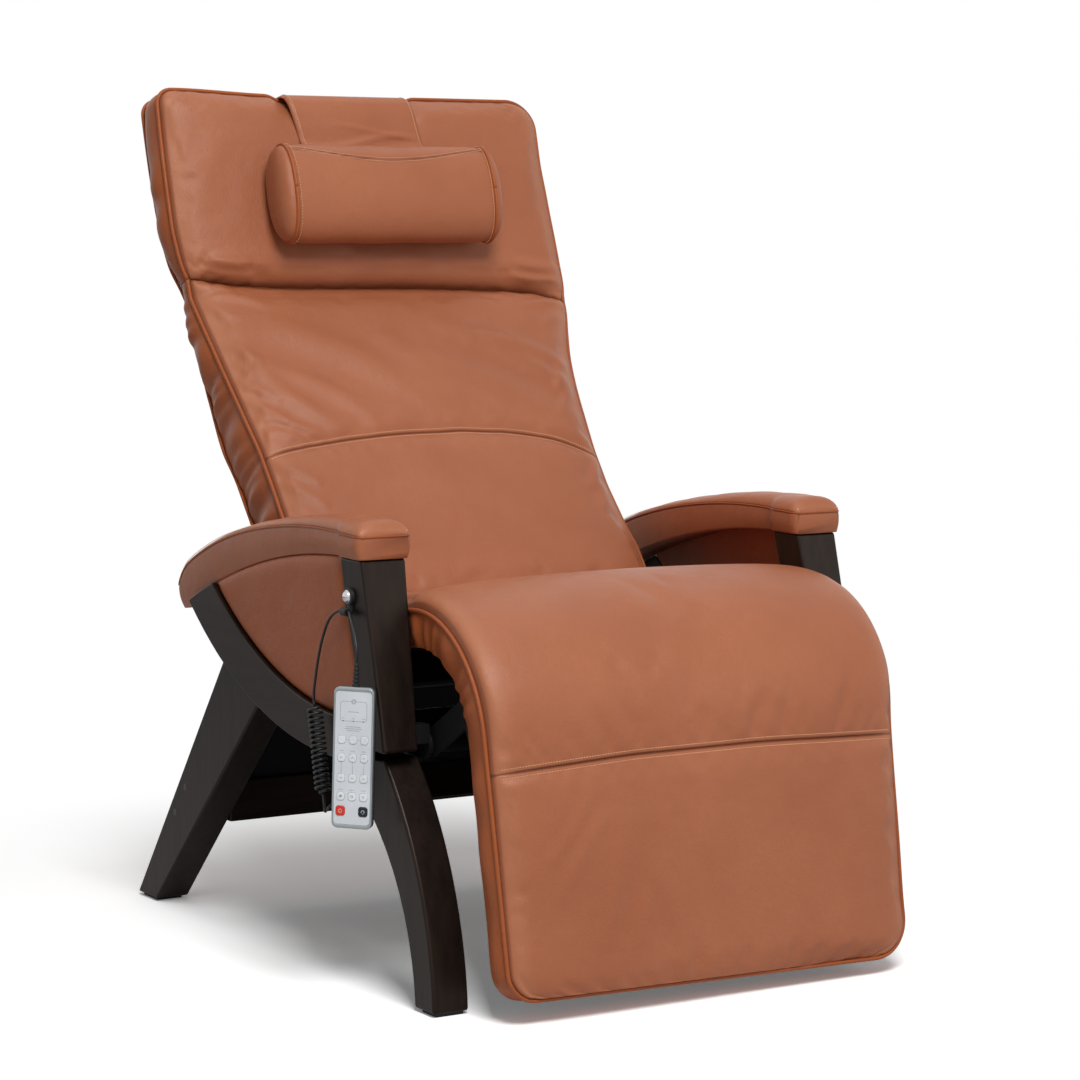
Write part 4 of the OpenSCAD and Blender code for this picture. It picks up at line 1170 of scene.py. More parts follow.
        def at(px: Array, pq: Array) -> Array:
            """Point on the face."""
            return self.place(px, pq, self.height(px / w, px, pq))

        normal = unit(np.cross(at(x + 1, q) - at(x - 1, q), at(x, q + 1) - at(x, q - 1)))
        return at(x, q) + normal * over * 0.001, normal

    def welt(self, shape: Shape, span: slice, radius: float = 2.8) -> None:
        """Adds the piping over a span of the outline's points.

        Args:
            shape: the piece that it joins.
            span: which points it follows.
            radius: its radius, in millimetres.
        """
        bx, bq, ox, oq, _ = self.border()
        x, q = (bx + ox * 2.0)[span], (bq + oq * 2.0)[span]
        path = self.place(x, q, np.full(x.shape, 1.2))
        tube_into(shape, evenly(path, 0.005)[0], radius * 0.001, 10)


# Stations from a seam, closer beside it, so that its groove is sharp.
SEAM_STEPS = np.array([-16, -12, -9, -7, -5.2, -3.8, -2.6, -1.6, -0.8, 0, 0.8, 1.6, 2.6, 3.8, 5.2,
                       7, 9, 12, 16])


@dataclass(frozen=True)
class SeamedPad(Pad):
    """A pad whose face is sewn across, along an arching seam."""

    seam: float = 250.0
    arches: Table = ((0, 1), (0, 0))
    dip: float = 2.4

    def arch(self, x: Array) -> Array:
        """How the seam rises between its ends."""
        return smooth_table(x, *self.arches)

    def off_seam(self, x: Array, q: Array) -> Array:
        """Distance beyond the seam."""
        return q - self.seam - self.arch(x)

    def held(self, x: Array, q: Array) -> Array:
        """1 beside the seam, which holds the leather."""
        return (np.abs(self.off_seam(x, q)) < 14.0).astype(float)

    def shade(self, x: Array, q: Array) -> Array:
        """Painted shade in the seam."""
        return 0.9 * np.exp(-((self.off_seam(x, q) / 1.6) ** 2))

    def groove(self, u: Array, x: Array, q: Array) -> Array:
        """Depth of the seam's groove: a narrow and a wide bell curve, none at the piping.

        Args:
            u: places across, -1 to 1.
            x: places across, in millimetres.
            q: stations.

        Returns:
            The depth.
        """
        d = self.off_seam(x, q)
        wide = self.dip * np.exp(-((d / 11.0) ** 2))
        return (3.0 * np.exp(-((d / 1.5) ** 2)) + wide) * (1 - np.abs(u) ** 14)

    def stitch_rows(self, x: Array, apart: float) -> list[tuple[Array, Array]]:
        """Two lines of stitches, one on each side of the seam."""
        return [(x, self.seam + self.arch(x) + d) for d in (-apart, apart)]


@dataclass(frozen=True)
class LegSeatPad(SeamedPad):
    """Seat and legrest cushion in one skin that rolls over the knee."""

    name: str = "seat_leather"
    path: SeatPath = SEAT
    columns: int = 150
    seam: float = 286.0
    arches: Table = ((-300, -200, -90, 60, 200, 300), (-2, 3, 7, 7, 3, 0))
    give: float = 0.0026
    edge_rise: float = 23.0
    widths: Table = ((0, 200, 380, 560), (301, 302, 303, 301))
    leans: Table = ((0, 60, 150, 290, 380, 470, 560, 640), (-8, -8, -5, -1, 6, 8, 4, 0))
    waist: float = 15.0
    right_corner: float = 34.0
    left_corner: float = 48.0
    folds: tuple[Fold, ...] = folds_of(
        (-172, 262, -246, 168, 1.5, 9, 6), (-146, 232, -232, 120, 1.7, 11, -8),
        (-128, 250, -178, 60, 1.6, 12, 8), (-96, 236, -120, 40, 1.1, 14, -6),
        (-60, 248, -140, 40, 1.4, 13, 10), (-104, 170, -50, 30, 1.3, 12, 5),
        (-16, 220, 30, 48, 1.1, 15, -8), (60, 236, 84, 70, 0.8, 16, 6),
        (120, 150, 154, 24, 0.9, 14, 4), (190, 220, 236, 60, 0.6, 16, -6),
        (-272, 226, -288, 90, 1.0, 8, 3), (-250, 452, -140, 420, 0.8, 18, 5),
        (-270, 560, -190, 575, 1.2, 9, 3), (-276, 585, -214, 604, 1.0, 8, -3),
        (276, 590, 200, 606, 0.9, 9, 3),
    )

    def rows(self) -> Array:
        """Stations every few millimetres, closer at the seam and at the round end.

        Returns:
            The stations.
        """
        low = 4.0 + 44.0 * (1 - np.cos(np.linspace(0, math.pi / 2, 24)))
        return np.concatenate([
            np.linspace(SEAT.end, self.seam + 20, 124), self.seam - SEAM_STEPS,
            np.linspace(self.seam - 20, 52, 52), low[::-1],
        ])

    def half_width(self, q: Array) -> Array:
        """Straight sides, round lower corners, and narrower between the side plates."""
        wide = super().half_width(q) - self.waist * ease(96, 160, q - SEAT.leg_length - SEAT.arc)
        return wide - corner(self.right_corner, q - 4.0)

    def lean(self, q: Array) -> Array:
        """Fuller at the knee, and a wider corner below."""
        right = corner(self.right_corner, q - 4.0)
        return super().lean(q) + right - corner(self.left_corner, q - 4.0)

    def shift(self, x: Array, q: Array) -> Array:
        """The end hangs a little lower at the sitter's left, and rows follow the seam."""
        near = np.exp(-(((q - self.seam) / 70.0) ** 2))
        return (3.0 - 0.017 * x) * ease(150, 0, q) + self.arch(x) * near

    def crown(self, u: Array, x: Array, q: Array) -> Array:
        """Rounded edge and low crown, falling to the piping at the end, cut by the seam.

        Args:
            u: places across, -1 to 1.
            x: places across, in millimetres.
            q: stations.

        Returns:
            The height over the piping.
        """
        roll = ease(300, 380, q) * ease(640, 560, q)
        side = np.maximum(1 - np.abs(u) ** (6 + 3 * roll), 0.0) ** (0.34 - 0.04 * roll)
        tip = (1 - (1 - np.clip((q - 4) / 30.0, 0, 1)) ** 3) ** 0.5
        rear = 1 - 0.3 * ease(SEAT.end - 30, SEAT.end, q)
        fall = 0.64 + 0.36 * ease(0, 290, q) + 0.08 * roll
        middle = self.middle_rise * (1 - u * u) * ease(0, 160, q)
        body = (self.edge_rise * side * tip + middle) * rear * fall
        return body - self.groove(u, x, q)

    def swell(self, x: Array, q: Array) -> Array:
        """Fuller below the knee, slim between the arms."""
        return 4.0 + 3.0 * ease(330, 250, q) - 3.0 * ease(560, 620, q)

    def end_swell(self, q: Array) -> Array:
        """The end is nearly flat."""
        return np.full(np.shape(q), 1.5)

    def gather(self, x: Array, q: Array, v: Array) -> Array:
        """Tucks where the skin is shortened inside the knee's bend, and slight waves below.

        Args:
            x: places across, in millimetres.
            q: stations.
            v: shares of the depth, 0 at the piping.

        Returns:
            The outward move.
        """
        bend = ease(320, 380, q) * ease(620, 560, q)
        ridge = 0.5 + 0.5 * np.sin(q * 0.17 + 2.1 * np.sin(q * 0.047) + 0.01 * x)
        tuck = (ridge**1.6 - 0.4) * bend * v * (1.35 - v) * 8.0
        wave = np.sin(q * 0.062 + 0.8 * np.sin(q * 0.023) + x * 0.01) * 1.8 * np.sin(math.pi * v)
        return tuck + wave * ease(0, 60, q)


@dataclass(frozen=True)
class BackPad(SeamedPad):
    """Back cushion from the hips, full behind the loins, to the head fold."""

    name: str = "back_leather"
    seam: float = 252.0
    arches: Table = (
        (-276, -230, -174, -63, 20, 91, 182, 243, 270), (-15, -8, -2, 6, 8, 5, -8, -30, -42)
    )
    dip: float = 2.8
    give: float = 0.0028
    widths: Table = (
        (-40, 0, 65, 140, 207, 258, 319, 415, 480, 523),
        (262, 267, 270, 271, 270, 270, 275, 284, 290, 293),
    )
    leans: Table = (
        (60, 107, 175, 247, 320, 394, 450, 507, 523), (-3, -9, -11, -9, -5, 3, 13, 24, 26)
    )
    depths: Table = ((-40, 20, 70, 120, 190, 300, 400, 523), (46, 46, 64, 82, 90, 90, 77, 68))
    insets: Table = ((-40, 60, 190, 300, 400, 523), (4, 4, 5, 5, 12, 36))
    folds: tuple[Fold, ...] = folds_of(
        (-210, 456, 52, 286, 7.0, 25, 12), (-262, 412, -140, 266, 5.6, 15, -12),
        (-278, 306, -176, 258, 4.4, 8, 5), (-274, 284, -206, 254, 3.2, 6, 3),
        (-244, 392, -84, 286, 4.6, 15, 8), (-40, 436, 126, 284, 5.0, 22, -10),
        (56, 452, 266, 330, 6.6, 19, 10), (120, 434, 274, 370, 4.8, 12, 6),
        (0, 404, 196, 288, 4.0, 18, 8), (-276, 368, -226, 318, 4.0, 8, 3),
        (-276, 332, -222, 288, 4.2, 8, 3), (-280, 432, -232, 386, 3.2, 9, 3),
        (276, 390, 230, 322, 3.8, 9, -4), (268, 340, 220, 284, 3.4, 8, -3),
        (256, 206, 214, 150, 3.6, 9, 3), (246, 180, 226, 110, 2.4, 10, 3),
        (-268, 224, -210, 176, 3.8, 9, 4), (-264, 194, -212, 136, 3.2, 10, 4),
        (-300, 524, -196, 492, 2.6, 8, 5), (-294, 508, -236, 470, 2.0, 9, -4),
        (304, 494, 224, 482, 3.0, 8, -4), (298, 470, 250, 446, 2.2, 9, -3),
        (-130, 170, 110, 60, 2.4, 30, 14), (-220, 120, -60, 30, 2.0, 24, 10),
    )

    def rows(self) -> Array:
        """Stations from the root to the fold, closer at the seam and the crease.

        Returns:
            The stations.
        """
        last = BACK.length - 0.4 - 30 * (1 - np.sin(np.linspace(0, math.pi / 2, 18)))
        return np.concatenate([
            np.linspace(-36, self.seam - 20, 58), self.seam + SEAM_STEPS,
            np.linspace(self.seam + 20, BACK.length - 34, 56), last,
        ])

    def crown(self, u: Array, x: Array, q: Array) -> Array:
        """Rounded edge and low crown, sinking into the fold, cut by the seam.

        Args:
            u: places across, -1 to 1.
            x: places across, in millimetres.
            q: stations.

        Returns:
            The height over the piping.
        """
        side = np.maximum(1 - np.abs(u) ** 6, 0.0) ** 0.32
        near = np.clip((BACK.length + crease_line(x) - q) / 20.0, 0.0, 1.0)
        lip = 0.08 + 0.92 * np.sqrt(1 - (1 - near) ** 2)
        root = np.clip((q + 37.0) / 34.0, 0.02, 1.0) ** 0.5
        body = (self.edge_rise * side + self.middle_rise * (1 - u * u)) * lip * root
        return body - self.groove(u, x, q)

    def shade(self, x: Array, q: Array) -> Array:
        """Painted shade in the seam and in the crease under the head pad."""
        crease = np.exp(-(((BACK.length + crease_line(x) - q) / 4.0) ** 2))
        return super().shade(x, q) + 0.8 * crease

    def shift(self, x: Array, q: Array) -> Array:
        """Rows follow the seam's arch and the crease."""
        near = np.exp(-(((q - self.seam) / 80.0) ** 2))
        return self.arch(x) * near + crease_line(x) * ease(BACK.length - 160, BACK.length, q)

    def swell(self, x: Array, q: Array) -> Array:
        """Bulging sides that tighten at the root."""
        return 3.0 + 5.0 * ease(40, 160, q) + 8.0 * ease(380, 450, q) * ease(524, 480, q)

    def gather(self, x: Array, q: Array, v: Array) -> Array:
        """Slack waves down the sides, fuller on the left.

        Args:
            x: places across, in millimetres.
            q: stations.
            v: shares of the depth, 0 at the piping.

        Returns:
            The outward move.
        """
        side = np.where(x < 0, 1.0, 0.7)
        wave = np.sin(q * 0.088 + 1.1 * np.sin(q * 0.031) + 2.0 * v) * 2.8
        small = np.sin(q * 0.23 + 2.2 * np.sin(q * 0.05) - 1.6 * v) * 1.2
        return (wave + small) * side * np.sin(math.pi * v) ** 0.7 * ease(30, 100, q)


CREASE: Table = (
    (-310, -294, -221, -118, 47, 182, 250, 303, 320), (32, 29, 17, 11, 9, 5, 0, -9, -15)
)


def crease_line(x: Array) -> Array:
    """How far the head fold's crease lies above the frame's bend, from left to right."""
    return smooth_table(x, *CREASE)


@dataclass(frozen=True)
class HeadPad(Pad):
    """Head cushion above the fold, piped round its top and widest at the ears."""

    name: str = "head_leather"
    give: float = 0.0018
    spare: float = 0.006
    widths: Table = ((523, 543, 573, 633, 723, 793, 824), (293, 299, 303, 307, 308, 307, 306))
    leans: Table = ((523, 543, 582, 634, 684, 731, 785, 824), (26, 25, 19, 12, 8, 5, 6, 5))
    depths: Table = ((523, 560, 620, 824), (68, 63, 60, 58))
    insets: Table = ((523, 536, 588, 662, 760, 824), (36, 34, 17, 10, 6, 4))
    right_corner: float = 21.0
    left_corner: float = 42.0
    strap_at: float = -14.0
    folds: tuple[Fold, ...] = folds_of(
        (-300, 568, -196, 549, 5.4, 7, -4), (-298, 588, -206, 562, 4.4, 8, -4),
        (-270, 576, -170, 560, 3.0, 9, 3), (318, 540, 220, 546, 4.8, 7, 4),
        (318, 560, 232, 570, 3.6, 9, 4), (-160, 612, -40, 590, 1.2, 18, 6),
        (60, 596, 200, 622, 1.2, 20, -6), (-280, 640, -230, 760, 1.4, 22, 6),
        (250, 640, 290, 760, 1.4, 20, -6),
    )

    def rows(self) -> Array:
        """Stations from the fold to the top, closer at both.

        Returns:
            The stations.
        """
        first = BACK.length + 0.4 + 32 * (1 - np.cos(np.linspace(0, math.pi / 2, 19)))
        last = BACK.top - 44 * (1 - np.sin(np.linspace(0, math.pi / 2, 26)))
        return np.concatenate([
            first, np.linspace(BACK.length + 37, BACK.top - 49, 56), last,
        ])

    def half_width(self, q: Array) -> Array:
        """That of the table, with round upper corners."""
        return super().half_width(q) - corner(self.right_corner, BACK.top - q)

    def lean(self, q: Array) -> Array:
        """That of the table, with a larger corner on the sitter's left."""
        right = corner(self.right_corner, BACK.top - q)
        return super().lean(q) + right - corner(self.left_corner, BACK.top - q)

    def crown(self, u: Array, x: Array, q: Array) -> Array:
        """Rounded edges, a deep crease below and a dip under the pillow's strap.

        Args:
            u: places across, -1 to 1.
            x: places across, in millimetres.
            q: stations.

        Returns:
            The height over the piping.
        """
        side = np.maximum(1 - np.abs(u) ** 6, 0.0) ** 0.32
        near = np.clip((q - BACK.length - crease_line(x)) / 44.0, 0.0, 1.0)
        lip = 0.02 + 0.98 * (1 - (1 - near) ** 2.4) ** 0.52
        to_top = np.clip((BACK.top - q + self.shift(x, q)) / 34.0, 0.0, 1.0)
        tip = (1 - (1 - to_top) ** 3) ** 0.5
        strap = 3.6 * ease(128, 98, np.abs(x - self.strap_at)) * ease(740, 800, q)
        middle = self.middle_rise * (1 - u * u) * lip * ease(0, 1, to_top)
        return self.edge_rise * side * lip * tip + middle - strap * tip

    def shade(self, x: Array, q: Array) -> Array:
        """Painted shade in the crease."""
        return 0.85 * np.exp(-(((q - BACK.length - crease_line(x)) / 5.0) ** 2))

    def shift(self, x: Array, q: Array) -> Array:
        """Rows follow the crease, and the top edge stands higher on the sitter's right.

        Args:
            x: places across, in millimetres.
            q: stations.

        Returns:
            The move along the path.
        """
        low = crease_line(x) * ease(BACK.length + 130, BACK.length, q)
        strap = 7.5 * ease(122, 100, np.abs(x - self.strap_at))
        top = 6.0 * ease(-120, -280, x) - strap - 1.5
        return low + top * ease(BACK.length + 170, BACK.length + 290, q)

    def swell(self, x: Array, q: Array) -> Array:
        """Full by the ears."""
        return 6.0 + 6.0 * ease(540, 600, q) * ease(800, 720, q)

    def end_swell(self, q: Array) -> Array:
        """Slightly full along the top."""
        return 3.0 * ease(700, 800, q)

    def gather(self, x: Array, q: Array, v: Array) -> Array:
        """Slack waves down the sides."""
        wave = np.sin(q * 0.081 + 0.9 * np.sin(q * 0.037) + 2.4 * v) * 2.0
        return wave * np.sin(math.pi * v) ** 0.7


@dataclass(frozen=True)
class RearCover(Pad):
    """Leather panel behind the back and head pads, facing rearwards."""

    name: str = "back_cover"
    columns: int = 60
    levels: tuple[float, ...] = (0.0, 0.5, 1.0)
    edge_dark: float = 0.3
    edge_rise: float = 7.0
    middle_rise: float = 4.0
    depths: Table = ((0, 1), (6, 6))
    back: BackPad = BackPad()
    head: HeadPad = HeadPad()

    def base(self, q: Array) -> Array:
        """Depth at which the cover meets the pads' sides."""
        return np.where(q < BACK.length, self.back.depth(q), self.head.depth(q)) - 3.0

    def place(self, x: Array, q: Array, n: Array) -> Array:
        """Points counted rearwards from the pads' sides.

        Args:
            x: places across, in millimetres.
            q: stations.
            n: distances behind them.

        Returns:
            The points.
        """
        y, z, a = self.path.lines(q)
        m = -self.base(q) - n
        return row(x, y - m * np.sin(a), z + m * np.cos(a))

    def rows(self) -> Array:
        """Stations from under the hips to the top.

        Returns:
            The stations.
        """
        return np.concatenate([
            40 + 24 * (1 - np.cos(np.linspace(0, math.pi / 2, 9))), np.linspace(70, 800, 116),
            825.5 - 23 * (1 - np.sin(np.linspace(0, math.pi / 2, 16))),
        ])

    def half_width(self, q: Array) -> Array:
        """As wide as the undersides of the pads, and a little over.

        Args:
            q: stations.

        Returns:
            The half width.
        """
        low = self.back.half_width(q) - self.back.inset(q)
        high = self.head.half_width(q) - self.head.inset(q)
        return np.where(q < BACK.length, low, high) + 2.0

    def lean(self, q: Array) -> Array:
        """That of the pads."""
        return np.where(q < BACK.length, self.back.lean(q), self.head.lean(q))

    def shift(self, x: Array, q: Array) -> Array:
        """Its top follows the head pad's."""
        return self.head.shift(x, q) * (q > BACK.length + 140)

    def crown(self, u: Array, x: Array, q: Array) -> Array:
        """Low crown with a sewn centre line.

        Args:
            u: places across, -1 to 1.
            x: places across, in millimetres.
            q: stations.

        Returns:
            The height over its edge.
        """
        side = np.maximum(1 - np.abs(u) ** 8, 0.0) ** 0.4
        tip = ease(36, 62, q) * ease(826, 800, q)
        line = 1.2 * np.exp(-((x / 1.6) ** 2)) + 0.8 * np.exp(-((x / 9.0) ** 2))
        rise = self.edge_rise * side + self.middle_rise * (1 - u * u)
        return rise * (0.15 + 0.85 * tip) - line * tip


@dataclass(frozen=True)
class Upholstery:
    """Every stuffed or leather-covered piece except the arms."""

    finishes: Finishes
    pillow_at: float = 137.0
    pillow_ends: Pair = (-157.0, 168.0)
    pillow_high: float = 72.0
    pillow_deep: float = 37.5
    pillow_back: float = 30.6
    pillow_cap: float = 21.0
    strap_width: float = 204.0
    strap_thick: float = 2.4
    strap_line: Line = ((196, 47), (208, 40), (222, 34.5), (250, 33.0), (274, 31.6), (286, 28.6),
                        (293.5, 23.5))
    tail_line: Line = ((294, 23.4), (298.6, 13), (300.2, 0), (300.8, -45), (299.5, -62),
                       (292, -70.5), (278, -72.2), (214, -72.2))

    def build(self) -> None:
        """Makes the seat, back, head, cover, pillow and strap."""
        self.seat()
        self.back()
        self.pillow()
        self.strap()

    def seams(self, name: str, pad: Pad, lines: Sequence[tuple[Array, Array]]) -> bpy.types.Object:
        """Stitch rows on a pad along lines given as (x, q) arrays.

        Args:
            name: the piece's name.
            pad: the pad.
            lines: the lines.

        Returns:
            The stitches.
        """
        shape = Shape()
        for x, q in lines:
            points, normal = pad.surface(x, q, 0.1)
            stitches_into(shape, points, normal)
        return shape.build(name, self.finishes.thread)

    def seat(self) -> None:
        """Seat and legrest, in one skin that rolls over the knee."""
        pad = LegSeatPad()
        piece = pad.build(self.finishes.leather, self.finishes.leather_side, self.finishes.lining)
        trim = Shape()
        pad.welt(trim, slice(0, 2 * len(pad.rows()) + pad.columns - 2))
        welt = trim.build("seat_piping", self.finishes.leather_side)
        x = np.linspace(-293, 293, 240)
        thread = self.seams("legrest_stitching", pad, pad.stitch_rows(x, 5.6))
        start, end = SEAT.point(SEAT.leg_length + SEAT.arc + 34), SEAT.point(SEAT.leg_length - 34)
        for part in (piece, welt):
            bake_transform(part)
        carry("leg", "leather", thread)
        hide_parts("seat_cushion", "leg_cushion")

    def back(self) -> None:
        """Back and head pads with their piping and the cover behind them."""
        back, head, rear = BackPad(), HeadPad(), RearCover()
        face, side = self.finishes.leather, self.finishes.leather_side
        low, high = back.build(face, side, side), head.build(face, side, side)
        cover = rear.build(side, side, self.finishes.lining)
        shape = Shape()
        count, full = len(back.rows()), 2 * len(back.rows()) + back.columns - 2
        back.welt(shape, slice(4, count))
        back.welt(shape, slice(full - count, full - 4))
        head.welt(shape, slice(0, 2 * len(head.rows()) + head.columns - 2))
        rear.welt(shape, slice(0, 2 * len(rear.rows()) + rear.columns - 2), 2.4)
        welt = shape.build("back_piping", self.finishes.leather_side)
        x = np.linspace(-264, 258, 220)
        thread = self.seams("lumbar_stitching", back, back.stitch_rows(x, 4.8))
        carry("back", "leather", low, high, cover, welt, thread)
        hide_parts("back_cushion")
        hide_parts("head_cushion")
        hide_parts("back_shell")

    def pillow_skin(self, a: Array, x: Array, grow: Array | float, sag: float = 2.0) -> Array:
        """Bolster's skin: powers of cosine and sine make its oval fuller, flattened behind.

        Args:
            a: angles round the oval, 0 in front.
            x: places across.
            grow: the oval's size as a share.
            sag: how far the top has sunk between the ends.

        Returns:
            The points.
        """
        c, d = np.cos(a), np.sin(a)
        deep, high = self.pillow_deep, self.pillow_high
        n = self.pillow_back + deep + deep * grow * np.sign(c) * np.abs(c) ** 0.86
        s = self.pillow_at + high * grow * np.sign(d) * np.abs(d) ** 0.9
        s = s - sag * (1 - ((x - 4) / 170.0) ** 2) * np.clip(d, 0, 1) ** 2
        return BACK.head_point(x, s, np.maximum(n, self.pillow_back + 0.2))

    def pillow(self) -> None:
        """Head bolster with piped oval ends and a bowed seam along its top."""
        angle = np.linspace(0, 2 * math.pi, 97)[:-1]
        left, right = self.pillow_ends
        x = np.linspace(left, right, 84)[:, None]
        near = np.exp(-(((x - left) / 16) ** 2)) + np.exp(-(((right - x) / 16) ** 2))
        edge = 1 - 0.035 * near
        wave = 0.006 * np.sin(x * 0.06 + 2 * angle[None])
        wave = wave * np.sin(math.pi * (x - left) / (right - left))
        bend = 1.08 - 0.47 * np.cos(math.pi * (x - 4) / 330)
        front = np.exp(-(((angle[None] - bend) / 0.035) ** 2))
        grow = edge + wave + 0.004 - 0.022 * front
        body = self.pillow_skin(angle[None], x, grow)
        shape = Shape()
        # Painted shade along the bowed top seam.
        index = shape.add(body, -0.9 * front * np.ones_like(x))
        shape.skin(index, wrap=(False, True))
        for ring, end, way in ((index[0], left, -1.0), (index[-1], right, 1.0)):
            t = np.linspace(0, 1, 14)[1:-1, None]
            size = edge[0, 0] * np.cos(t * math.pi / 2) ** 0.75
            out = end + way * self.pillow_cap * np.sin(t * math.pi / 2) ** 0.8
            cap = shape.add(self.pillow_skin(angle[None], out, size, 0.0))
            far = np.full((1, 1), end + way * self.pillow_cap)
            tip = shape.add(self.pillow_skin(np.zeros((1, 1)), far, 0.0, 0.0))
            shape.skin(np.concatenate([ring[None], cap]), wrap=(False, True))
            last, point = cap[-1], int(tip.ravel()[0])
            shape.faces(np.stack([last, np.roll(last, -1), np.full(len(last), point)], -1))
        piece = shape.build("pillow_leather", self.finishes.leather)
        trim, thread = Shape(), Shape()
        loop = np.linspace(0, 2 * math.pi, 121)
        for end, way in ((left, -1.0), (right, 1.0)):
            edging = self.pillow_skin(loop, np.full(121, end + way * 0.6), 0.975)
            tube_into(trim, edging, 0.0030, 9)
            path = self.pillow_skin(loop, np.full(121, end - way * 5.0), 1.004)
            stitches_into(thread, path, unit(path - path.mean(axis=0)), 0.0042)
        x = np.linspace(left + 5, right - 5, 140)
        bend = 1.08 - 0.47 * np.cos(math.pi * (x - 4) / 330)
        for step in (-0.055, 0.05):
            path = self.pillow_skin(bend + step, x, 1.003)
            inner = self.pillow_skin(bend + step, x, 0.9)
            stitches_into(thread, path, unit(path - inner), 0.0042)
        welt = trim.build("pillow_piping", self.finishes.leather_side)
        sewn = thread.build("pillow_stitching", self.finishes.thread)
        carry("pillow", "leather", piece, welt, sewn)
        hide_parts("pillow")

    def strap(self) -> None:
        """Strap from the pillow up over the head pad, and its weighted tail behind."""
        self.band("strap_front", self.strap_line, (2.0, -15.0), "pillow", "pillow_strap")
        self.band("strap_tail_band", self.tail_line, (-15.0, -15.0), "back", "strap_tail")
        shape = Shape()
        stack_into(shape, (
            (190, 40, 3, 5.4), (196, 46, 5, 4.4), (196, 46, 5, -4.4), (190, 40, 3, -5.4)
        ))
        shape.move(lambda p: BACK.head_point(p[:, 0] - 15, 194 + p[:, 2], p[:, 1] - 74.4))
        weight = shape.build("strap_weight", self.finishes.leather_side)
        carry("back", "leather", weight)

    def band(
        self, name: str, line: Line, middle: Pair, body: str, node: str
    ) -> None:
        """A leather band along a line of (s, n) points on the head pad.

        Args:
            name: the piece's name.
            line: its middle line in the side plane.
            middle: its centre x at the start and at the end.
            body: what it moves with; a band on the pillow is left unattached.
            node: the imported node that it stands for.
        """
        path = through(np.array(line), 90)
        u = np.linspace(-1, 1, 76)[None, :]
        t = np.linspace(0, 1, 90)[:, None]
        step = np.gradient(path, axis=0)
        up = unit(np.stack([-step[:, 1], step[:, 0]], -1))
        half = self.strap_width / 2 * (1 - 0.015 * np.sin(math.pi * t))
        x = middle[0] + (middle[1] - middle[0]) * t + u * half
        waves = 0.0
        if body == "pillow":
            first = np.exp(-(((t - 0.3 - 0.10 * np.sin(2.6 * u)) / 0.06) ** 2)) * (1 - u**4)
            second = np.exp(-(((t - 0.5 + 0.16 * u) / 0.05) ** 2))
            second = second * ease(-0.7, 0.1, u) * ease(0.95, 0.5, u)
            third = np.sin(4.4 * u + 5 * t) * np.sin(math.pi * t)
            waves = np.maximum(2.6 * first + 1.6 * second + 1.1 * third, -0.6) + 0.7
        hem = 0.8 * np.exp(-(((np.abs(u) - 0.955) / 0.02) ** 2))
        lift = waves + hem - 2.6 * np.abs(u) ** 30
        grid = BACK.head_point(x, path[:, :1] + up[:, :1] * lift, path[:, 1:] + up[:, 1:] * lift)
        shape = Shape()
        sheet_into(shape, grid, self.strap_thick * 0.001)
        piece = shape.build(name, self.finishes.leather)
        sewn = Shape()
        normal = unit(np.cross(np.gradient(grid, axis=0), np.gradient(grid, axis=1)))
        out = BACK.head_point(0.0, 150.0, 0.0)
        sign = np.sign(((grid - out) * normal).sum(-1, keepdims=True).mean())
        for column in (2, -3):
            up3 = normal[:, column] * sign
            stitches_into(sewn, grid[:, column] + up3 * (self.strap_thick / 2 + 0.1) * 0.001, up3)
        thread = sewn.build(name + "_stitching", self.finishes.thread)
        for part in (piece, thread):
            if body == "pillow":
                start, end = BACK.head_point(0.0, *np.array([(293.0, 24.0), (266.0, 32.0)]).T)
                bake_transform(part)
            else:
                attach(part, body)
        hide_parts(node)


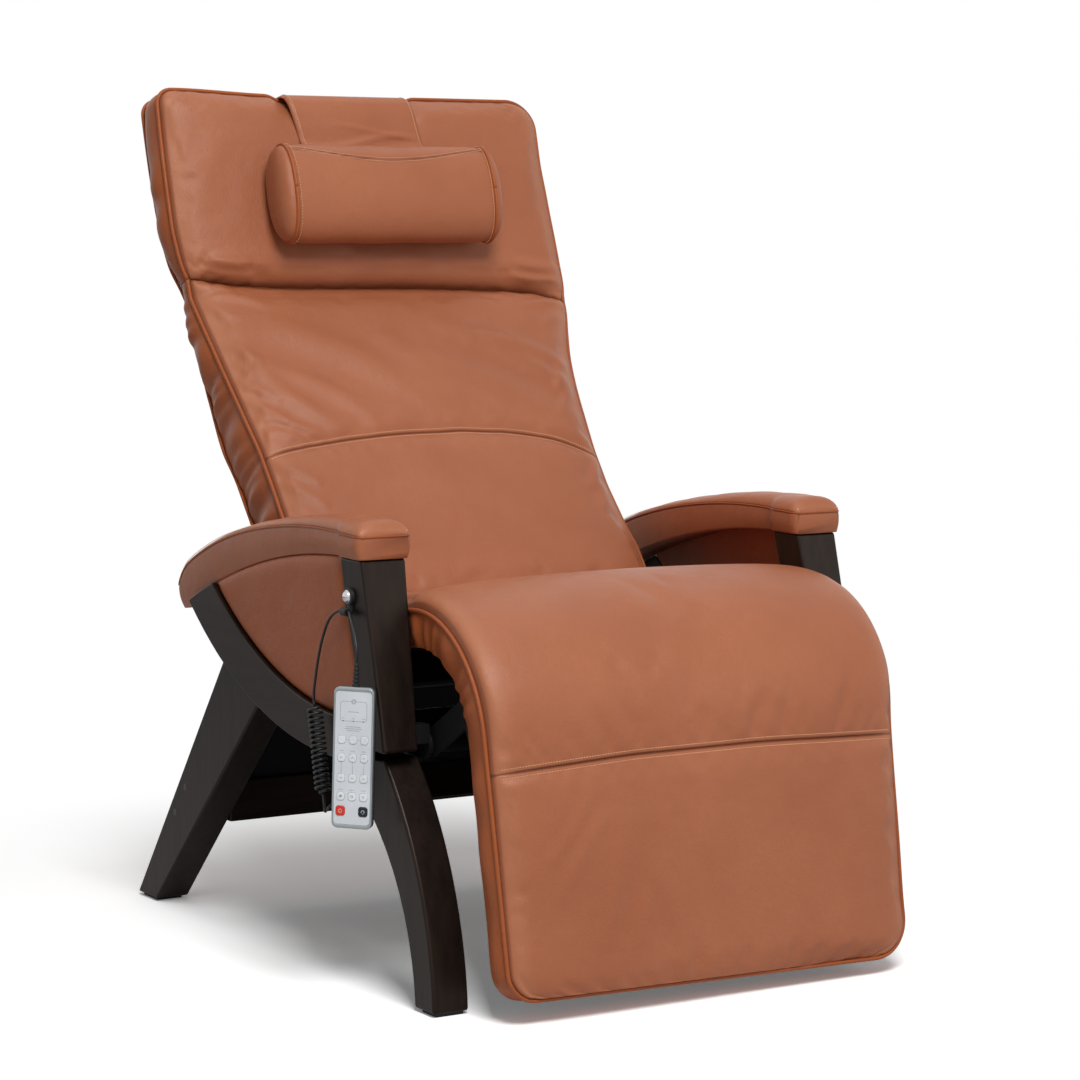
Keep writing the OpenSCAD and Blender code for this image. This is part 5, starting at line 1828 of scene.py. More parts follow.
# ---------- arms ----------
@dataclass(frozen=True)
class Arms:
    """Padded armrests, upholstered side panels, posts and curved rails, on both sides.

    The pad's underside is an arc; its half width, seam height and the shares of its crown go
    by depth. The panel stands at panel_at across and runs back to panel_end.
    """

    finishes: Finishes
    middle: float = 334.0
    low_centre: Pair = (45.0, -567.0)
    low_radius: float = 1117.0
    tail_from: float = 500.0
    length: float = 568.0
    side: float = 28.0
    rise: float = 19.0
    widths: Table = (
        (0, 3, 8, 14, 50, 56, 66, 80, 310, 370, 425, 475, 515, 540, 556, 568),
        (33, 36.6, 38.2, 38.6, 38.4, 36, 31, 29.4, 29, 28.4, 27.4, 25.6, 22.6, 18.6, 14, 6),
    )
    seams: Table = ((0, 60, 150, 236, 330, 416, 500, 568), (0, 1, 6, 11, 17, 21.5, 23, 9))
    ends: Table = ((0, 3, 8, 16, 500, 540, 556, 568), (0.3, 0.62, 0.88, 1, 1, 0.86, 0.65, 0.2))
    crowns: Table = ((0, 60, 236, 416, 568), (1.05, 1, 0.6, 0.4, 0.34))
    panel_at: float = 357.4
    panel_inner: float = 356.4
    panel_end: float = 430.0
    panel_rise: float = 6.4
    panel_edge: float = 5.5
    rail_centre: Pair = (42.0, 966.0)
    rail_radius: float = 621.2
    post_edge: float = 4.2
    rail_edge: float = 2.0

    def build(self) -> None:
        """Makes both arms."""
        for side in Side:
            self.pad(side)
            for kind, radius, grain in (
                ("arm_post", self.post_edge, Grain.UPRIGHT),
                ("arm_rail", self.rail_edge, Grain.ALONG),
            ):
                node = f"{kind}_{side.word}"
                piece = rounded_copy(node, node + "_eased", radius, self.finishes.wood[grain])
                carry("seat", "wood", piece)
            self.panel(side)

    def half_width(self, y: Array) -> Array:
        """Wide front block, slimmer arm, tapering tail."""
        return smooth_table(y, *self.widths)

    def seam_height(self, y: Array) -> Array:
        """Height of the side, up to its seam."""
        return self.side + smooth_table(y, *self.seams)

    def crown(self, y: Array) -> Array:
        """Rise of the top over its seam."""
        return self.rise * smooth_table(y, *self.crowns) * smooth_table(y, *self.ends)

    def place(self, side: Side, x: Array, y: Array, n: Array) -> Array:
        """Points on one armrest.

        Args:
            side: the side of the chair.
            x: places across from the pad's middle, outwards.
            y: depths.
            n: heights above the curved underside.

        Returns:
            The points, in the row frame.
        """
        a = -np.arcsin((y - self.low_centre[0]) / self.low_radius)
        z = self.low_centre[1] + np.sqrt(self.low_radius**2 - (y - self.low_centre[0]) ** 2)
        return row(side.value * (self.middle + x), y - n * np.sin(a), z + n * np.cos(a))

    def panel(self, side: Side) -> None:
        """One stuffed side panel between the post, the pad and the rail.

        Its outline is the post's rear curve, the pad's underside and the rail's top curve, and
        it stands out by its rise times one minus exp(-d / edge) for the distance d from each.
        A point's start moves with the post's curve at its height, so the grid is found in six
        rounds.

        Args:
            side: the side of the chair.
        """
        t = 0.5 - 0.5 * np.cos(np.linspace(0, math.pi, 90))[:, None]
        v = 0.5 - 0.5 * np.cos(np.linspace(0, math.pi, 44))[None, :]
        start = 0.0 * (t + v)
        for _ in range(6):
            y = start + (self.panel_end - start) * t
            top = self.low_centre[1] + np.sqrt(
                (self.low_radius - 0.2) ** 2 - (y - self.low_centre[0]) ** 2
            )
            low = self.rail_centre[1] - np.sqrt(
                self.rail_radius**2 - (y - self.rail_centre[0]) ** 2
            )
            z = low + (top - low) * v
            front = -16.0 + 0.38636 * (z[:1] - 312) - 0.0004125 * (z[:1] - 312) * (z[:1] - 400)
            start = front + 0.0 * t
        soft = self.panel_edge
        rise = self.panel_rise * (1 - np.exp((low - z) / soft)) * (1 - np.exp((z - top) / soft))
        rise = rise * (1 - np.exp((start - y) / soft))
        rise = rise + 0.35 * np.sin(0.04 * y + 0.03 * z) * np.sin(math.pi * v)
        grid = row(side.value * (self.panel_at + rise), y, z)
        shape = Shape()
        index = shape.add(grid)
        shape.skin(index)
        edge = border_of(grid)
        edge[:, 0] = side.value * self.panel_inner * 0.001
        inner = shape.add(edge)
        shape.skin(np.stack([border_of(index), inner]), wrap=(False, True))
        shape.cap(inner)
        piece = shape.build(f"side_panel_{side.word}_leather", self.finishes.leather_side)
        carry("seat", "leather", piece)
        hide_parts(f"side_panel_{side.word}")

    def pad(self, side: Side) -> None:
        """One armrest: sewn sides under a crowned top.

        Round the section run the underside, a slightly swollen side, the crown, which rises
        as the square root of one minus the cube of the place across, and the other side.

        Args:
            side: the side of the chair.
        """
        tail = self.length - self.tail_from
        y = np.concatenate([
            [0, 0.8, 2, 4, 7, 11, 16], np.linspace(22, 76, 24), np.linspace(82, 500, 90),
            self.tail_from + tail * np.sin(np.linspace(0.05, math.pi / 2, 30)),
        ])[:, None]
        w, h, c = self.half_width(y), self.seam_height(y), self.crown(y)
        low = 12.0 * np.clip((y - self.tail_from) / tail, 0, 1) ** 2 - 0.6
        v = np.linspace(0, 1, 15)[None, :]
        u = np.sin(np.linspace(1, -1, 46) * math.pi / 2)[None, :]
        swell = 1.4 * np.sin(math.pi * v) - 1.8 * (1 - v) ** 3
        top = h + c * np.sqrt(np.maximum(1 - np.abs(u) ** 3, 0.0))
        ripple = 0.35 * np.sin(y * 0.11 + 3 * u) * (1 - u**2)
        across = np.concatenate([w + swell, u * w, -(w + swell[:, ::-1])], axis=1)
        height = np.concatenate([
            low + (h - low) * v, top + ripple, low + (h - low) * v[:, ::-1],
        ], axis=1)
        over = height - h
        across = across - np.sign(across) * np.exp(-((over / 1.1) ** 2))
        shape = Shape()
        # Rubbed wear on the crown just over the seam, and painted shade along the seam.
        wear_and_painted_shade = 0.5 * np.exp(-(((over - 6) / 6) ** 2)) - 0.8 * np.exp(-((over / 1.6) ** 2))
        index = shape.add(self.place(side, across, y, height), wear_and_painted_shade)
        shape.skin(index, wrap=(False, True))
        shape.cap(index[0], smooth=True)
        shape.cap(index[-1], smooth=True)
        piece = shape.build(f"arm_pad_{side.word}_leather", self.finishes.leather)
        trim, thread = Shape(), Shape()
        tube_into(trim, evenly(self.seam_line(side, 0.0, 0.0)[0], 0.006)[0], 0.0011, 7)
        path, inner = self.seam_line(side, 6.0, 3.2)
        stitches_into(thread, path, unit(path - inner))
        welt = trim.build(f"arm_seam_{side.word}", self.finishes.leather_side)
        sewn = thread.build(f"arm_stitching_{side.word}", self.finishes.thread)
        carry("seat", "leather", piece, welt, sewn)
        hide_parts(f"arm_pad_{side.word}")

    def seam_line(self, side: Side, over: float, inward: float) -> tuple[Array, Array]:
        """A line beside the seam: up one side of the pad, across its front, down the other.

        Args:
            side: the side of the chair.
            over: height over the seam.
            inward: how far it lies inside the pad's outline.

        Returns:
            The line's points, and a point deeper in the pad under each.
        """
        line = np.linspace(1.5, 556, 260)
        edge, high = self.half_width(line) - inward, self.seam_height(line) + over * 0.92
        front = np.linspace(1, -1, 40)[1:-1]
        reach = self.half_width(np.array(3.0)) - 1.0 - inward
        x = np.concatenate([edge[::-1], front * reach, -edge])
        near = np.full_like(front, 0.6 * over - 0.6)
        y = np.concatenate([line[::-1], near, line])
        low = np.full_like(front, self.side + over * 0.6)
        n = np.concatenate([high[::-1], low, high])
        return self.place(side, x, y, n), self.place(side, x * 0.5, np.maximum(y, 14), n - 18)


@dataclass(frozen=True)
class Base:
    """Wooden legs and beams, frames, drives and the boxes under the seat.

    The apron's low and high lines and the plugs are side-plane points; the bolt's profile is
    (reach, radius) from its foot to its crown.
    """

    finishes: Finishes
    leg_edge: float = 4.0
    beam_edge: float = 3.0
    box_edge: float = 2.2
    clip_edge: float = 0.7
    cloth: float = 1.2
    valance_at: Pair = (158.5, 405.0)
    valance_half: float = 278.0
    valance_drop: float = 40.0
    apron_low: Pair = (518.0, 188.0)
    apron_high: Pair = (425.0, 316.0)
    apron_half: float = 303.0
    apron_sag: float = 5.0
    plug_at: Line = ((548.0, 181.0), (582.0, 140.0))
    plug_across: float = 354.0
    bolt_at: Place = (-370.9, 30.0, 501.0)
    bolt_profile: Line = ((0.0, 8.6), (0.9, 8.6), (1.2, 8.3), (1.2, 7.6), (1.9, 7.5), (3.2, 6.8),
                          (4.6, 5.2), (5.5, 3.2), (5.9, 1.2), (6.0, 0.02))

    def build(self) -> None:
        """Eases the wooden pieces' edges and dresses the rest."""
        for side in Side:
            for kind in ("front_leg", "rear_leg"):
                node = f"{kind}_{side.word}"
                self.eased(node, self.leg_edge, self.finishes.wood[Grain.UPRIGHT], "wood")
        for node in ("rear_beam", "front_stretcher"):
            self.eased(node, self.beam_edge, self.finishes.wood[Grain.ACROSS], "wood")
        self.eased("control_box", self.box_edge, self.finishes.box, "box_black", "seat")
        self.eased("cord_clip", self.clip_edge, self.finishes.rubber, "rubber", "seat")
        for finish, nodes in (
            (self.finishes.steel, ("seat_frame", "back_frame", "leg_frame")),
            (self.finishes.drive, ("tilt_drive", "back_drive", "leg_drive", "leg_glides")),
            (self.finishes.bright, ("tilt_carriage", "back_carriage", "leg_carriage")),
            (self.finishes.board, ("seat_pan",)),
            (self.finishes.bladder, ("air_cells",)),
            (self.finishes.box, ("air_pump",)),
        ):
            for node in nodes:
                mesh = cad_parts[node].data
                mesh.materials.clear()
                mesh.materials.append(finish)
        self.plugs()
        self.bolt()
        self.apron()
        self.valance()

    def valance(self) -> None:
        """Black strip under the front edge of the seat board, with slight sine waves: painted shade
        over the gaps under the seat.
        """
        across = np.linspace(-1, 1, 80)[None, :]
        t = np.linspace(0, 1, 8)[:, None]
        wave = 1.2 * np.sin(11 * across) * t
        y, z = self.valance_at
        shape = Shape()
        hung = row(self.valance_half * across, y + wave, z - self.valance_drop * t)
        sheet_into(shape, hung, self.cloth * 0.001)
        piece = shape.build("seat_valance", self.finishes.lining)
        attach(piece, "seat")

    def apron(self) -> None:
        """Black sheet stretched between the rear legs, from their beam up under the seat: painted
        shade under the seat.

        It follows the line from its low to its high point in the side plane, with its sag
        times the half sines of both directions.
        """
        low, high, half = self.apron_low, self.apron_high, self.apron_half
        length = math.hypot(high[0] - low[0], high[1] - low[1])
        across = np.linspace(-1, 1, 60)[None, :]
        t = np.linspace(0, 1, 24)[:, None]
        sag = self.apron_sag * np.sin(math.pi * t) * np.cos(across * math.pi / 2)
        y = low[0] + (high[0] - low[0]) * t + sag * (high[1] - low[1]) / length
        z = low[1] + (high[1] - low[1]) * t - sag * (high[0] - low[0]) / length
        shape = Shape()
        sheet_into(shape, row(half * across, y, z), self.cloth * 0.001)
        piece = shape.build("rear_apron", self.finishes.lining)
        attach(piece, "base")

    def eased(
        self, node: str, radius: float, finish: bpy.types.Material, slot: str, body: str = "base"
    ) -> None:
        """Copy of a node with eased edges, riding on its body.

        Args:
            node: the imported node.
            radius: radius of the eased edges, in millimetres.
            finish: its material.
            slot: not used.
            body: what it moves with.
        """
        piece = rounded_copy(node, node + "_eased", radius, finish)
        carry(body, slot, piece)

    def plugs(self) -> None:
        """Two flush dowel plugs, turned from a low dome, on each rear leg's outer face."""
        shape = Shape()
        angle = np.arange(28) * 2 * math.pi / 28
        radius = np.array([0.0, 4.2, 4.8, 5.0])[:, None]
        lift = np.array([0.22, 0.22, 0.12, -0.4])[:, None]
        for side in Side:
            for y, z in self.plug_at:
                index = shape.add(row(side.value * (self.plug_across + lift),
                                      y + radius * np.cos(angle), z + radius * np.sin(angle)))
                shape.skin(index, wrap=(False, True))
        piece = shape.build("leg_plugs", self.finishes.plug)
        carry("base", "wood", piece)

    def bolt(self) -> None:
        """Dome bolt of the cord clip: its profile turned round its axis."""
        reach, radius = np.array(self.bolt_profile).T[:, :, None]
        angle = np.arange(40) * 2 * math.pi / 40
        x, y, z = self.bolt_at
        shape = Shape()
        index = shape.add(row(x - reach, y + radius * np.cos(angle), z + radius * np.sin(angle)))
        shape.skin(index, wrap=(False, True))
        shape.cap(index[0])
        piece = shape.build("clip_bolt_dome", self.finishes.chrome)
        carry("seat", "bolt", piece)
        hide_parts("clip_bolt")


# ---------- handset ----------
class Cap(Enum):
    """Colour of a key's cap."""

    WHITE = "key_white"
    RED = "key_red"
    BLACK = "key_black"


@dataclass(frozen=True)
class Key:
    """One key: its name, cell and the strokes of its sign, in millimetres round its middle."""

    name: str
    column: int
    line: int
    strokes: tuple[Line, ...]
    cap: Cap = Cap.WHITE

    @property
    def large(self) -> bool:
        """True for a key of the last line."""
        return self.line == 4


def arc_points(radius: float, first: float, last: float, count: int = 14) -> Line:
    """Points on a circle round the origin, from one angle in degrees to another."""
    angle = np.radians(np.linspace(first, last, count))
    return tuple(zip((radius * np.cos(angle)).tolist(), (radius * np.sin(angle)).tolist()))


UP: tuple[Line, ...] = (((-1.5, -0.7), (0.0, 0.9), (1.5, -0.7)),)
DOWN: tuple[Line, ...] = (((-1.5, 0.7), (0.0, -0.9), (1.5, 0.7)),)
POWER = (arc_points(1.9, 125, 415, 20), ((0.0, 0.6), (0.0, 2.4)))
WAVES = tuple(
    tuple((x, y + 0.5 * math.sin(2.1 * x)) for x in np.linspace(-1.8, 1.8, 9).tolist())
    for y in (-1.0, 0.0, 1.0)
)


def dots(count: int) -> tuple[Line, ...]:
    """A row of short marks, one and a half millimetres apart."""
    middles = ((k - (count - 1) / 2) * 1.5 for k in range(count))
    return tuple(((at - 0.15, 0.0), (at + 0.15, 0.0)) for at in middles)


KEYS = (
    Key("key_recline_up", -1, 1, UP),
    Key("key_recline_down", -1, 2, DOWN),
    Key("key_legs_up", 0, 1, UP),
    Key("key_legs_down", 0, 2, DOWN),
    Key("key_lumbar_up", 1, 1, UP),
    Key("key_lumbar_down", 1, 2, DOWN),
    Key("key_preset_1", -1, 0, dots(1)),
    Key("key_preset_2", 0, 0, dots(2)),
    Key("key_preset_3", 1, 0, dots(3)),
    Key("key_massage", -1, 3, WAVES),
    Key("key_program", 0, 3, (arc_points(1.5, 0, 360, 18), ((0.0, -0.3), (0.0, 0.3)))),
    Key("key_heat", 1, 3, (((-1.6, 1.4), (0.0, 0.0), (1.6, 1.4)), ((0.0, 0.0), (0.0, -1.8)))),
    Key("key_power", -1, 4, POWER, Cap.RED),
    Key("key_light", 1, 4, (arc_points(1.7, -50, 230, 16), ((-0.9, -2.2), (0.9, -2.2))),
        Cap.BLACK),
)


@dataclass(frozen=True)
class Handset:
    """Wired handset: dark shell, silver bezel, white face with printed lines, and its keys.

    It is drawn in its own millimetres: X right, Z up, -Y outwards. Its front, the split
    between bezel and shell, the key tops and the print are heights in Y.
    """

    finishes: Finishes
    at: Place = (-393.0, -28.0, 308.0)
    yaw: float = -45.0
    roll: float = 1.6
    width: float = 52.0
    height: float = 177.0
    corner: float = 8.0
    front: float = -8.0
    split: float = -2.0
    bezel: float = 2.6
    rows: tuple[float, ...] = (22.7, 0.3, -25.2, -48.2, -66.5)
    pitch: float = 14.6
    key_size: float = 9.6
    large_key: float = 11.6
    key_top: float = -8.3
    print_at: float = -7.46
    relief_long: float = 30.2

    def turned(self, p: Array) -> Array:
        """Row-frame points from the handset's own.

        Args:
            p: points in the handset's millimetres.

        Returns:
            The points rolled, turned about Z and put in place, in metres.
        """
        a, b = math.radians(self.yaw), math.radians(self.roll)
        spin = np.array([[math.cos(a), -math.sin(a), 0], [math.sin(a), math.cos(a), 0], [0, 0, 1]])
        tip = np.array([[math.cos(b), 0, math.sin(b)], [0, 1, 0], [-math.sin(b), 0, math.cos(b)]])
        q = p @ (spin @ tip).T + np.array(self.at)
        return row(q[..., 0], q[..., 1], q[..., 2])

    def dress(
        self, shape: Shape, name: str, finish: bpy.types.Material, slot: str, *nodes: str,
        body: str = "handset",
    ) -> None:
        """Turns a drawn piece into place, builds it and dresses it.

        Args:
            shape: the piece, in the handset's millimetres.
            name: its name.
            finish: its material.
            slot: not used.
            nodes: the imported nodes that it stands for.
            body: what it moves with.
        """
        shape.move(self.turned)
        piece = shape.build(name, finish, weld=2e-6)
        carry(body, slot, piece)
        if nodes:
            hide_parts(*nodes)

    def build(self) -> None:
        """Makes the housing, the face's print, the keys and the strain relief."""
        w, h, r = self.width, self.height, self.corner
        front, split = self.front, self.split
        back = Shape()
        rings = [(w - 1.0, h - 1.0, r - 0.5, split), (w - 0.3, h - 0.3, r, split + 0.5),
                 (w, h, r, split + 1.2), (w, h, r, 1.5)]
        for t in np.linspace(0, 1, 9)[1:]:
            d = 5.5 * (1 - math.cos(t * math.pi / 2))
            rings.append((w - 2 * d, h - 2 * d, r - 0.6 * d, 1.5 + 6.4 * math.sin(t * math.pi / 2)))
        stack_into(back, rings)
        finishes = self.finishes
        self.dress(back, "handset_shell_back", finishes.shell, "handset_shell", "handset_back")
        b = self.bezel
        rim = Shape()
        stack_into(rim, (
            (w - 0.4, h - 0.4, r, split - 0.05), (w, h, r, split - 0.5), (w, h, r, front + 1.8),
            (w - 0.5, h - 0.5, r - 0.2, front + 0.7), (w - 1.7, h - 1.7, r - 0.8, front + 0.12),
            (w - 2 * b + 0.9, h - 4 * b + 0.9, 5.4, front + 0.05),
            (w - 2 * b + 0.1, h - 4 * b + 0.1, 5.1, front + 0.5),
            (w - 2 * b, h - 4 * b, 5, split - 0.05),
        ), ring_wall=True)
        self.dress(rim, "handset_rim", finishes.bezel, "handset_silver", "handset_bezel")
        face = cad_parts["handset_face"].data
        face.materials.clear()
        face.materials.append(finishes.face)
        self.keys()
        self.print_face()
        self.relief()

    def keys(self) -> None:
        """Each key as a softly domed plate with its sign on top."""
        caps = {Cap.WHITE: self.finishes.key, Cap.RED: self.finishes.red,
                Cap.BLACK: self.finishes.black}
        top = self.key_top
        for key in KEYS:
            size = self.large_key if key.large else self.key_size
            shape = Shape()
            stack_into(shape, (
                (size, size + 0.4, 3.3, top + 4.3), (size, size + 0.4, 3.3, top + 0.45),
                (size - 0.2, size + 0.2, 3.2, top + 0.18),
                (size - 0.8, size - 0.4, 2.9, top + 0.02),
                (size - 3.0, size - 2.6, 2.4, top),
            ))
            centre = np.array([key.column * self.pitch, 0.0, self.rows[key.line]])
            shape.move(lambda p, c=centre: p + c)
            slot = key.cap.value
            self.dress(shape, key.name + "_cap", caps[key.cap], slot, key.name, body=key.name)
            sign = Shape()
            for stroke in key.strokes:
                line = np.array(stroke) * (1.15 if key.large else 1.0) + centre[[0, 2]]
                self.stroke(sign, line, 0.5, top - 0.03)
            ink = self.finishes.white_ink if key.large else self.finishes.ink
            self.dress(sign, key.name.replace("key", "sign") + "_sign", ink, slot, body=key.name)

    def stroke(self, shape: Shape, line: Array, width: float, y: float) -> None:
        """Adds a printed stroke: a flat strip of even width along a line in the face's plane.

        Args:
            shape: the piece that it joins.
            line: its middle line, as (x, z) points.
            width: its width.
            y: its height.
        """
        step = np.gradient(line, axis=0)
        across = unit(np.stack([-step[:, 1], step[:, 0]], -1)) * width / 2
        left, right = line + across, line - across
        level = np.full(len(line), y)
        rows = np.stack([
            np.stack([left[:, 0], level, left[:, 1]], -1),
            np.stack([right[:, 0], level, right[:, 1]], -1),
            np.stack([right[:, 0], level + 0.05, right[:, 1]], -1),
            np.stack([left[:, 0], level + 0.05, left[:, 1]], -1),
        ])
        index = shape.add(rows)
        shape.skin(index, wrap=(True, False))
        shape.cap(index[:, 0])
        shape.cap(index[:, -1])

    def print_face(self) -> None:
        """Printed loop with its marks, lines that join key pairs, and plain label dashes."""
        y = self.print_at
        dark, pale = Shape(), Shape()
        quarter = np.linspace(0, math.pi / 2, 7)
        r, x0, z0, z1 = 3.0, 17.0, 46.0, 70.5
        corners = [(x0 - r, z1 - r, 0), (r - x0, z1 - r, 1), (r - x0, z0 + r, 2),
                   (x0 - r, z0 + r, 3)]
        loop = np.concatenate([
            np.stack([cx + r * np.cos(turn), cz + r * np.sin(turn)], -1)
            for cx, cz, turn in ((cx, cz, quarter + k * math.pi / 2) for cx, cz, k in corners)
        ])
        self.stroke(pale, np.concatenate([loop, loop[:1]]), 0.55, y)
        for ink, radius, width in ((pale, 3.0, 0.5), (dark, 2.0, 0.35)):
            ring = np.array(arc_points(radius, 0, 360, 28)) + (0.0, z1)
            self.stroke(ink, ring, width, y - 0.02)
        for x in (-13.0, 0.0, 13.0):
            self.stroke(dark, np.array([(x - 0.7, z0), (x + 0.7, z0)]), 1.3, y - 0.02)
            self.stroke(pale, np.array([(x - 1.8, z0 + 3.4), (x + 1.8, z0 + 3.4)]), 0.5, y)
        self.stroke(pale, np.array([(-7.0, 57.6), (7.0, 57.6)]), 0.55, y)
        for z, half in ((39.0, 9.0), (36.6, 11.0), (34.2, 8.0)):
            self.stroke(pale, np.array([(-half, z), (half, z)]), 0.5, y)
        for column in (-1, 0, 1):
            x, (first, second, third, fourth) = column * self.pitch, self.rows[:4]
            self.stroke(pale, np.array([(x, second - 5.2), (x, third + 5.2)]), 0.45, y)
            for half, z in ((2.6, second + 8.4), (3.0, fourth + 8.2)):
                self.stroke(pale, np.array([(x - half, z), (x + half, z)]), 0.55, y)
        for left in (-self.pitch, 0.0):
            ends = np.array([(left + 5.2, first), (left + self.pitch - 5.2, first)])
            self.stroke(pale, ends, 0.45, y)
        self.dress(dark, "face_print_dark", self.finishes.ink, "handset_white")
        self.dress(pale, "face_print_pale", self.finishes.pale_ink, "handset_white")

    def relief(self) -> None:
        """Ribbed strain relief: a profile (height, radius) with rounded ribs, turned round Z."""
        z = np.linspace(0, self.relief_long, 150)
        core = 2.9 - 0.008 * z
        rib = np.clip(np.sin((z - 0.2) * 2 * math.pi / 5.0 - 0.4) * 2.2 + 0.5, 0, 1)
        radius = core + (1.95 - 0.052 * z) * rib
        radius[-1], z[-1] = 2.0, self.relief_long + 0.08
        angle = np.arange(28) * 2 * math.pi / 28
        shape = Shape()
        ring = np.stack([
            radius[:, None] * np.cos(angle), radius[:, None] * np.sin(angle),
            self.height / 2 + 0.05 + np.broadcast_to(z[:, None], (150, 28)),
        ], -1)
        index = shape.add(ring)
        shape.skin(index, wrap=(False, True))
        shape.cap(index[0])
        shape.cap(index[-1])
        self.dress(shape, "cord_relief_ribbed", self.finishes.rubber, "rubber", "cord_relief")


# ---------- cord ----------
@dataclass(frozen=True)
class HandsetCord:
    """The handset's cord: up into the clip, down behind the post, a curl, and under the seat."""

    finishes: Finishes
    diameter: float = 3.6
    curl: float = 21.0
    turns: int = 17
    upper: tuple[Place, ...] = (
        (-390.64, -30.36, 427.45), (-390.2, -30.2, 441), (-389, -25, 453), (-386, -15, 464),
        (-382, -3, 473), (-378, 9, 479), (-375, 17, 482), (-374, 24, 482),
    )
    drop: tuple[Place, ...] = (
        (-374, 24, 482), (-374, 30, 482), (-374, 36, 482), (-374, 45, 482), (-375, 54, 479),
        (-376, 64, 473), (-377, 73, 463), (-378, 80, 450), (-379, 87, 434), (-380, 93, 414),
        (-381, 98, 392), (-382, 101, 370), (-382, 101, 362),
    )
    top: Place = (-382.0, 101.0, 362.0)
    low: Place = (-386.0, 68.0, 240.0)
    tail: tuple[Place, ...] = (
        (-386, 68, 240), (-386.1, 66.9, 236), (-385.5, 67, 230), (-383, 71, 225),
        (-378, 79, 222), (-371, 90, 221), (-362, 101, 222), (-351, 110, 224), (-338, 116, 227),
        (-322, 120, 230), (-306, 122, 233), (-294, 122.5, 239), (-284, 122, 247.5),
        (-276, 121, 255.5), (-269, 120, 260.5), (-262, 120, 261.5), (-254.5, 120, 261.5),
    )

    def helix(self) -> Array:
        """Curls round the line from top to low, their radius easing in over half a turn.

        Returns:
            The curls' middle line, with a straight step at each end.
        """
        top, low = np.array(self.top), np.array(self.low)
        axis = unit(low - top)
        u = unit(np.cross([1.0, 0.0, 0.0], axis))
        v = np.cross(axis, u)
        run = float(np.linalg.norm(low - top)) - 4 * self.diameter
        turn = np.linspace(0, self.turns, self.turns * 24 + 1)
        near = np.minimum(turn, self.turns - turn)
        r = ((self.curl - self.diameter) / 2 * np.minimum(1.0, near * 2))[:, None]
        around = np.cos(2 * math.pi * turn)[:, None] * u + np.sin(2 * math.pi * turn)[:, None] * v
        line = top + axis * (2 * self.diameter + run * turn / self.turns)[:, None] + r * around
        return np.concatenate([[top, top + axis * self.diameter], line,
                               [low - axis * self.diameter]])

    def build(self) -> None:
        """Makes the cord as one tube along its whole route."""
        first = through(np.array(self.upper), 60)
        second = through(np.array(self.drop), 90)
        last = through(np.array(self.tail), 120)
        line = np.concatenate([first[:-1], second[:-1], self.helix(), last])
        path = row(line[:, 0], line[:, 1], line[:, 2])
        shape = Shape()
        tube_into(shape, path, self.diameter / 2000, 10)
        piece = shape.build("handset_cord", self.finishes.cord)
        carry("seat", "cord_pvc", piece)
        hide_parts("cord_upper", "cord_drop", "cord_coil", "cord_tail")


# ---------- stage ----------
@dataclass(frozen=True)
class Lamp:
    """A square soft box: its name, place, aim, size and power."""

    name: str
    at: Place
    aim: Place
    size: float
    power: float

    def build(self) -> None:
        """Hangs the lamp and points it at its aim."""
        light = bpy.data.lights.new(self.name, "AREA")
        light.shape = "SQUARE"
        light.size = self.size
        light.energy = self.power
        box = bpy.data.objects.new(self.name, light)
        box.location = self.at
        x, y, z = np.array(self.aim) - np.array(self.at)
        turn = math.atan2(y, x) - math.pi / 2
        box.rotation_euler = (math.atan2(math.hypot(x, y), -z), 0.0, turn)
        bpy.context.scene.collection.objects.link(box)


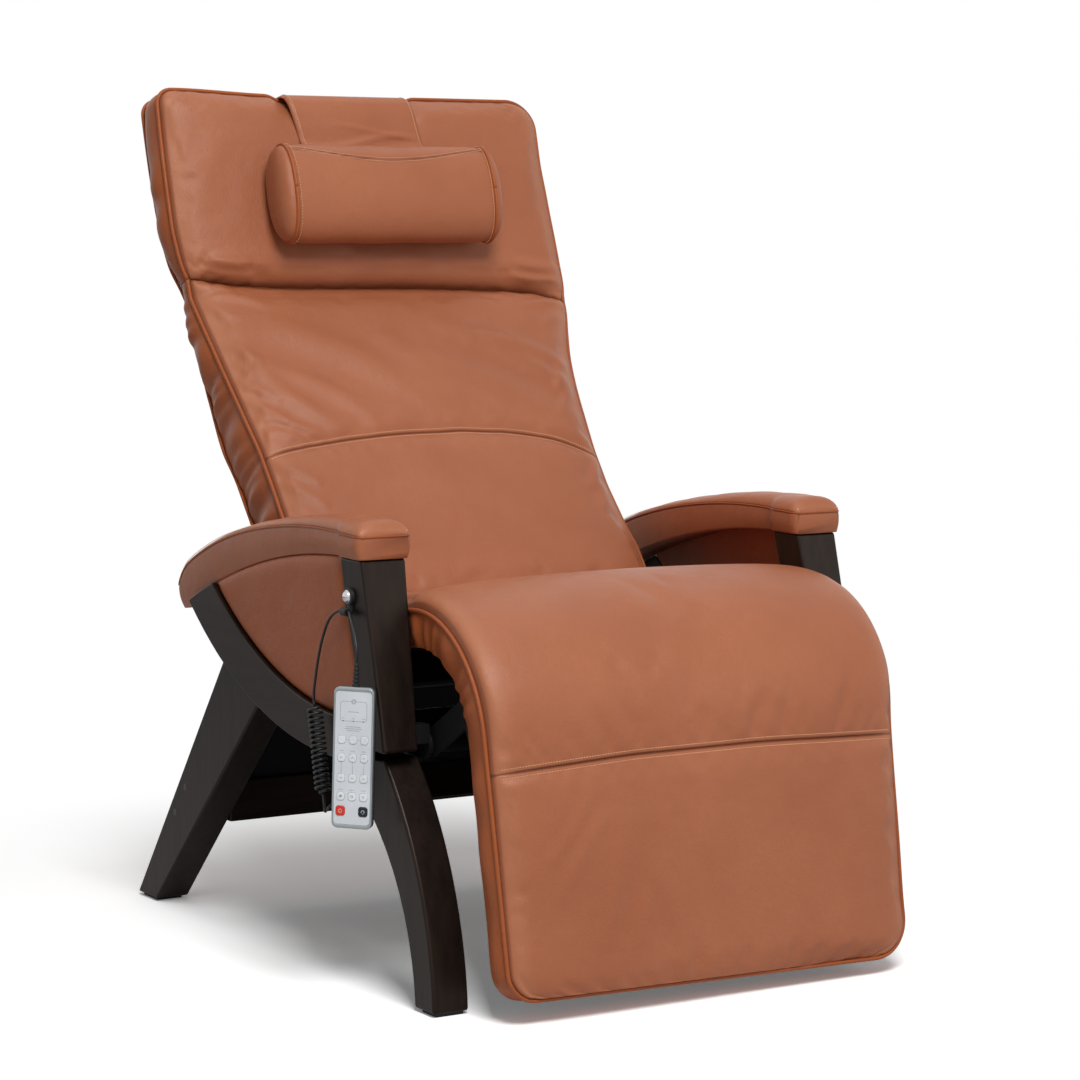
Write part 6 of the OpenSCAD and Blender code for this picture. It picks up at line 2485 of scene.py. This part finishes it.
@dataclass(frozen=True)
class Studio:
    """Camera, pale floor, soft lamps and background."""

    eye: Place = (-2.23983, -3.74481, 0.95603)
    down: float = 5.514
    turned: float = -31.45
    focal: float = 36.0 * 3200.0 / 1080.0
    floor_half: float = 7.0
    fade: Pair = (0.55, 1.25)
    pale: float = 1.45
    glow: float = 0.12
    ambient: float = 0.15
    lamps: tuple[Lamp, ...] = (
        Lamp("key", (-0.9, -2.7, 3.5), (0.0, 0.0, 0.55), 1.5, 126.0),
        Lamp("fill", (2.4, -2.9, 1.5), (0.0, -0.1, 0.5), 2.2, 12.0),
        Lamp("top", (0.2, 0.4, 3.4), (0.0, 0.0, 0.6), 2.0, 14.0),
    )

    def camera(self) -> None:
        """Camera at standing height, to the sitter's right of the front."""
        lens = bpy.data.cameras.new("view")
        lens.sensor_width = 36.0
        lens.lens = self.focal
        lens.clip_end = 60.0
        camera = bpy.data.objects.new("view", lens)
        camera.location = self.eye
        camera.rotation_euler = (math.radians(90 - self.down), 0.0, math.radians(self.turned))
        bpy.context.scene.collection.objects.link(camera)
        bpy.context.scene.camera = camera

    def floor(self) -> None:
        """White floor that keeps the chair's shadow and fades into the background.

        The eye sees a pale diffuse with a little glow, which turns plain white between the two
        distances of the fade. Every other ray sees light grey.
        """
        g = Graph("studio_floor")
        grey = g.node("ShaderNodeBsdfDiffuse", Color=(0.86, 0.86, 0.87, 1.0)).outputs[0]
        pale = g.node("ShaderNodeBsdfDiffuse", Color=(*(self.pale,) * 3, 1.0)).outputs[0]
        glow = g.node("ShaderNodeEmission", Strength=self.glow).outputs[0]
        white = g.node("ShaderNodeEmission", Strength=1.0).outputs[0]
        away = g.node("ShaderNodeVectorMath", set_operation="LENGTH", _0=g.place).outputs["Value"]
        share = g.between(away, *self.fade, (0.0, 1.0))
        share.node.interpolation_type = "SMOOTHSTEP"
        near = g.node("ShaderNodeAddShader", _0=pale, _1=glow).outputs[0]
        seen = g.node("ShaderNodeMixShader", _0=share, _1=near, _2=white).outputs[0]
        eye = g.node("ShaderNodeLightPath").outputs["Is Camera Ray"]
        both = g.node("ShaderNodeMixShader", _0=eye, _1=grey, _2=seen).outputs[0]
        g.tree.links.new(both, g.tree.nodes["Material Output"].inputs["Surface"])
        g.tree.nodes.remove(g.shader)
        grid = np.linspace(-self.floor_half, self.floor_half, 9)
        x, y = np.meshgrid(grid, grid, indexing="ij")
        shape = Shape()
        shape.skin(shape.add(np.stack([x, y, np.zeros_like(x)], -1)))
        floor = shape.build("floor", g.material)
        if floor.data.polygons[0].normal.z < 0:
            floor.data.flip_normals()

    def world(self) -> None:
        """White background for the eye, a dimmer even light for everything else."""
        world = bpy.data.worlds.new("studio")
        bpy.context.scene.world = world
        world.use_nodes = True
        nodes, links = world.node_tree.nodes, world.node_tree.links
        back = nodes["Background"]
        back.inputs["Color"].default_value = (1.0, 1.0, 1.0, 1.0)
        path = nodes.new("ShaderNodeLightPath").outputs
        seen = path["Is Camera Ray"]
        for other in ("Is Glossy Ray", "Is Transmission Ray"):
            most = nodes.new("ShaderNodeMath")
            most.operation = "MAXIMUM"
            links.new(seen, most.inputs[0])
            links.new(path[other], most.inputs[1])
            seen = most.outputs[0]
        scale = nodes.new("ShaderNodeMapRange")
        for spot, value in zip(scale.inputs[1:5], (0.0, 1.0, self.ambient, 1.0)):
            spot.default_value = value
        links.new(seen, scale.inputs[0])
        links.new(scale.outputs[0], back.inputs["Strength"])

    def build(self) -> None:
        """Sets up everything round the chair."""
        bpy.context.scene.view_settings.view_transform = "Standard"
        self.camera()
        self.floor()
        self.world()
        for lamp in self.lamps:
            lamp.build()


def main() -> None:
    """Builds the studio, the cord and every sub-assembly."""
    logging.basicConfig(level=logging.INFO, format="%(name)s: %(message)s")
    Studio().build()
    finishes = Finishes()
    HandsetCord(finishes).build()
    Handset(finishes).build()
    Base(finishes).build()
    Arms(finishes).build()
    Upholstery(finishes).build()


if __name__ == "__main__":
    main()
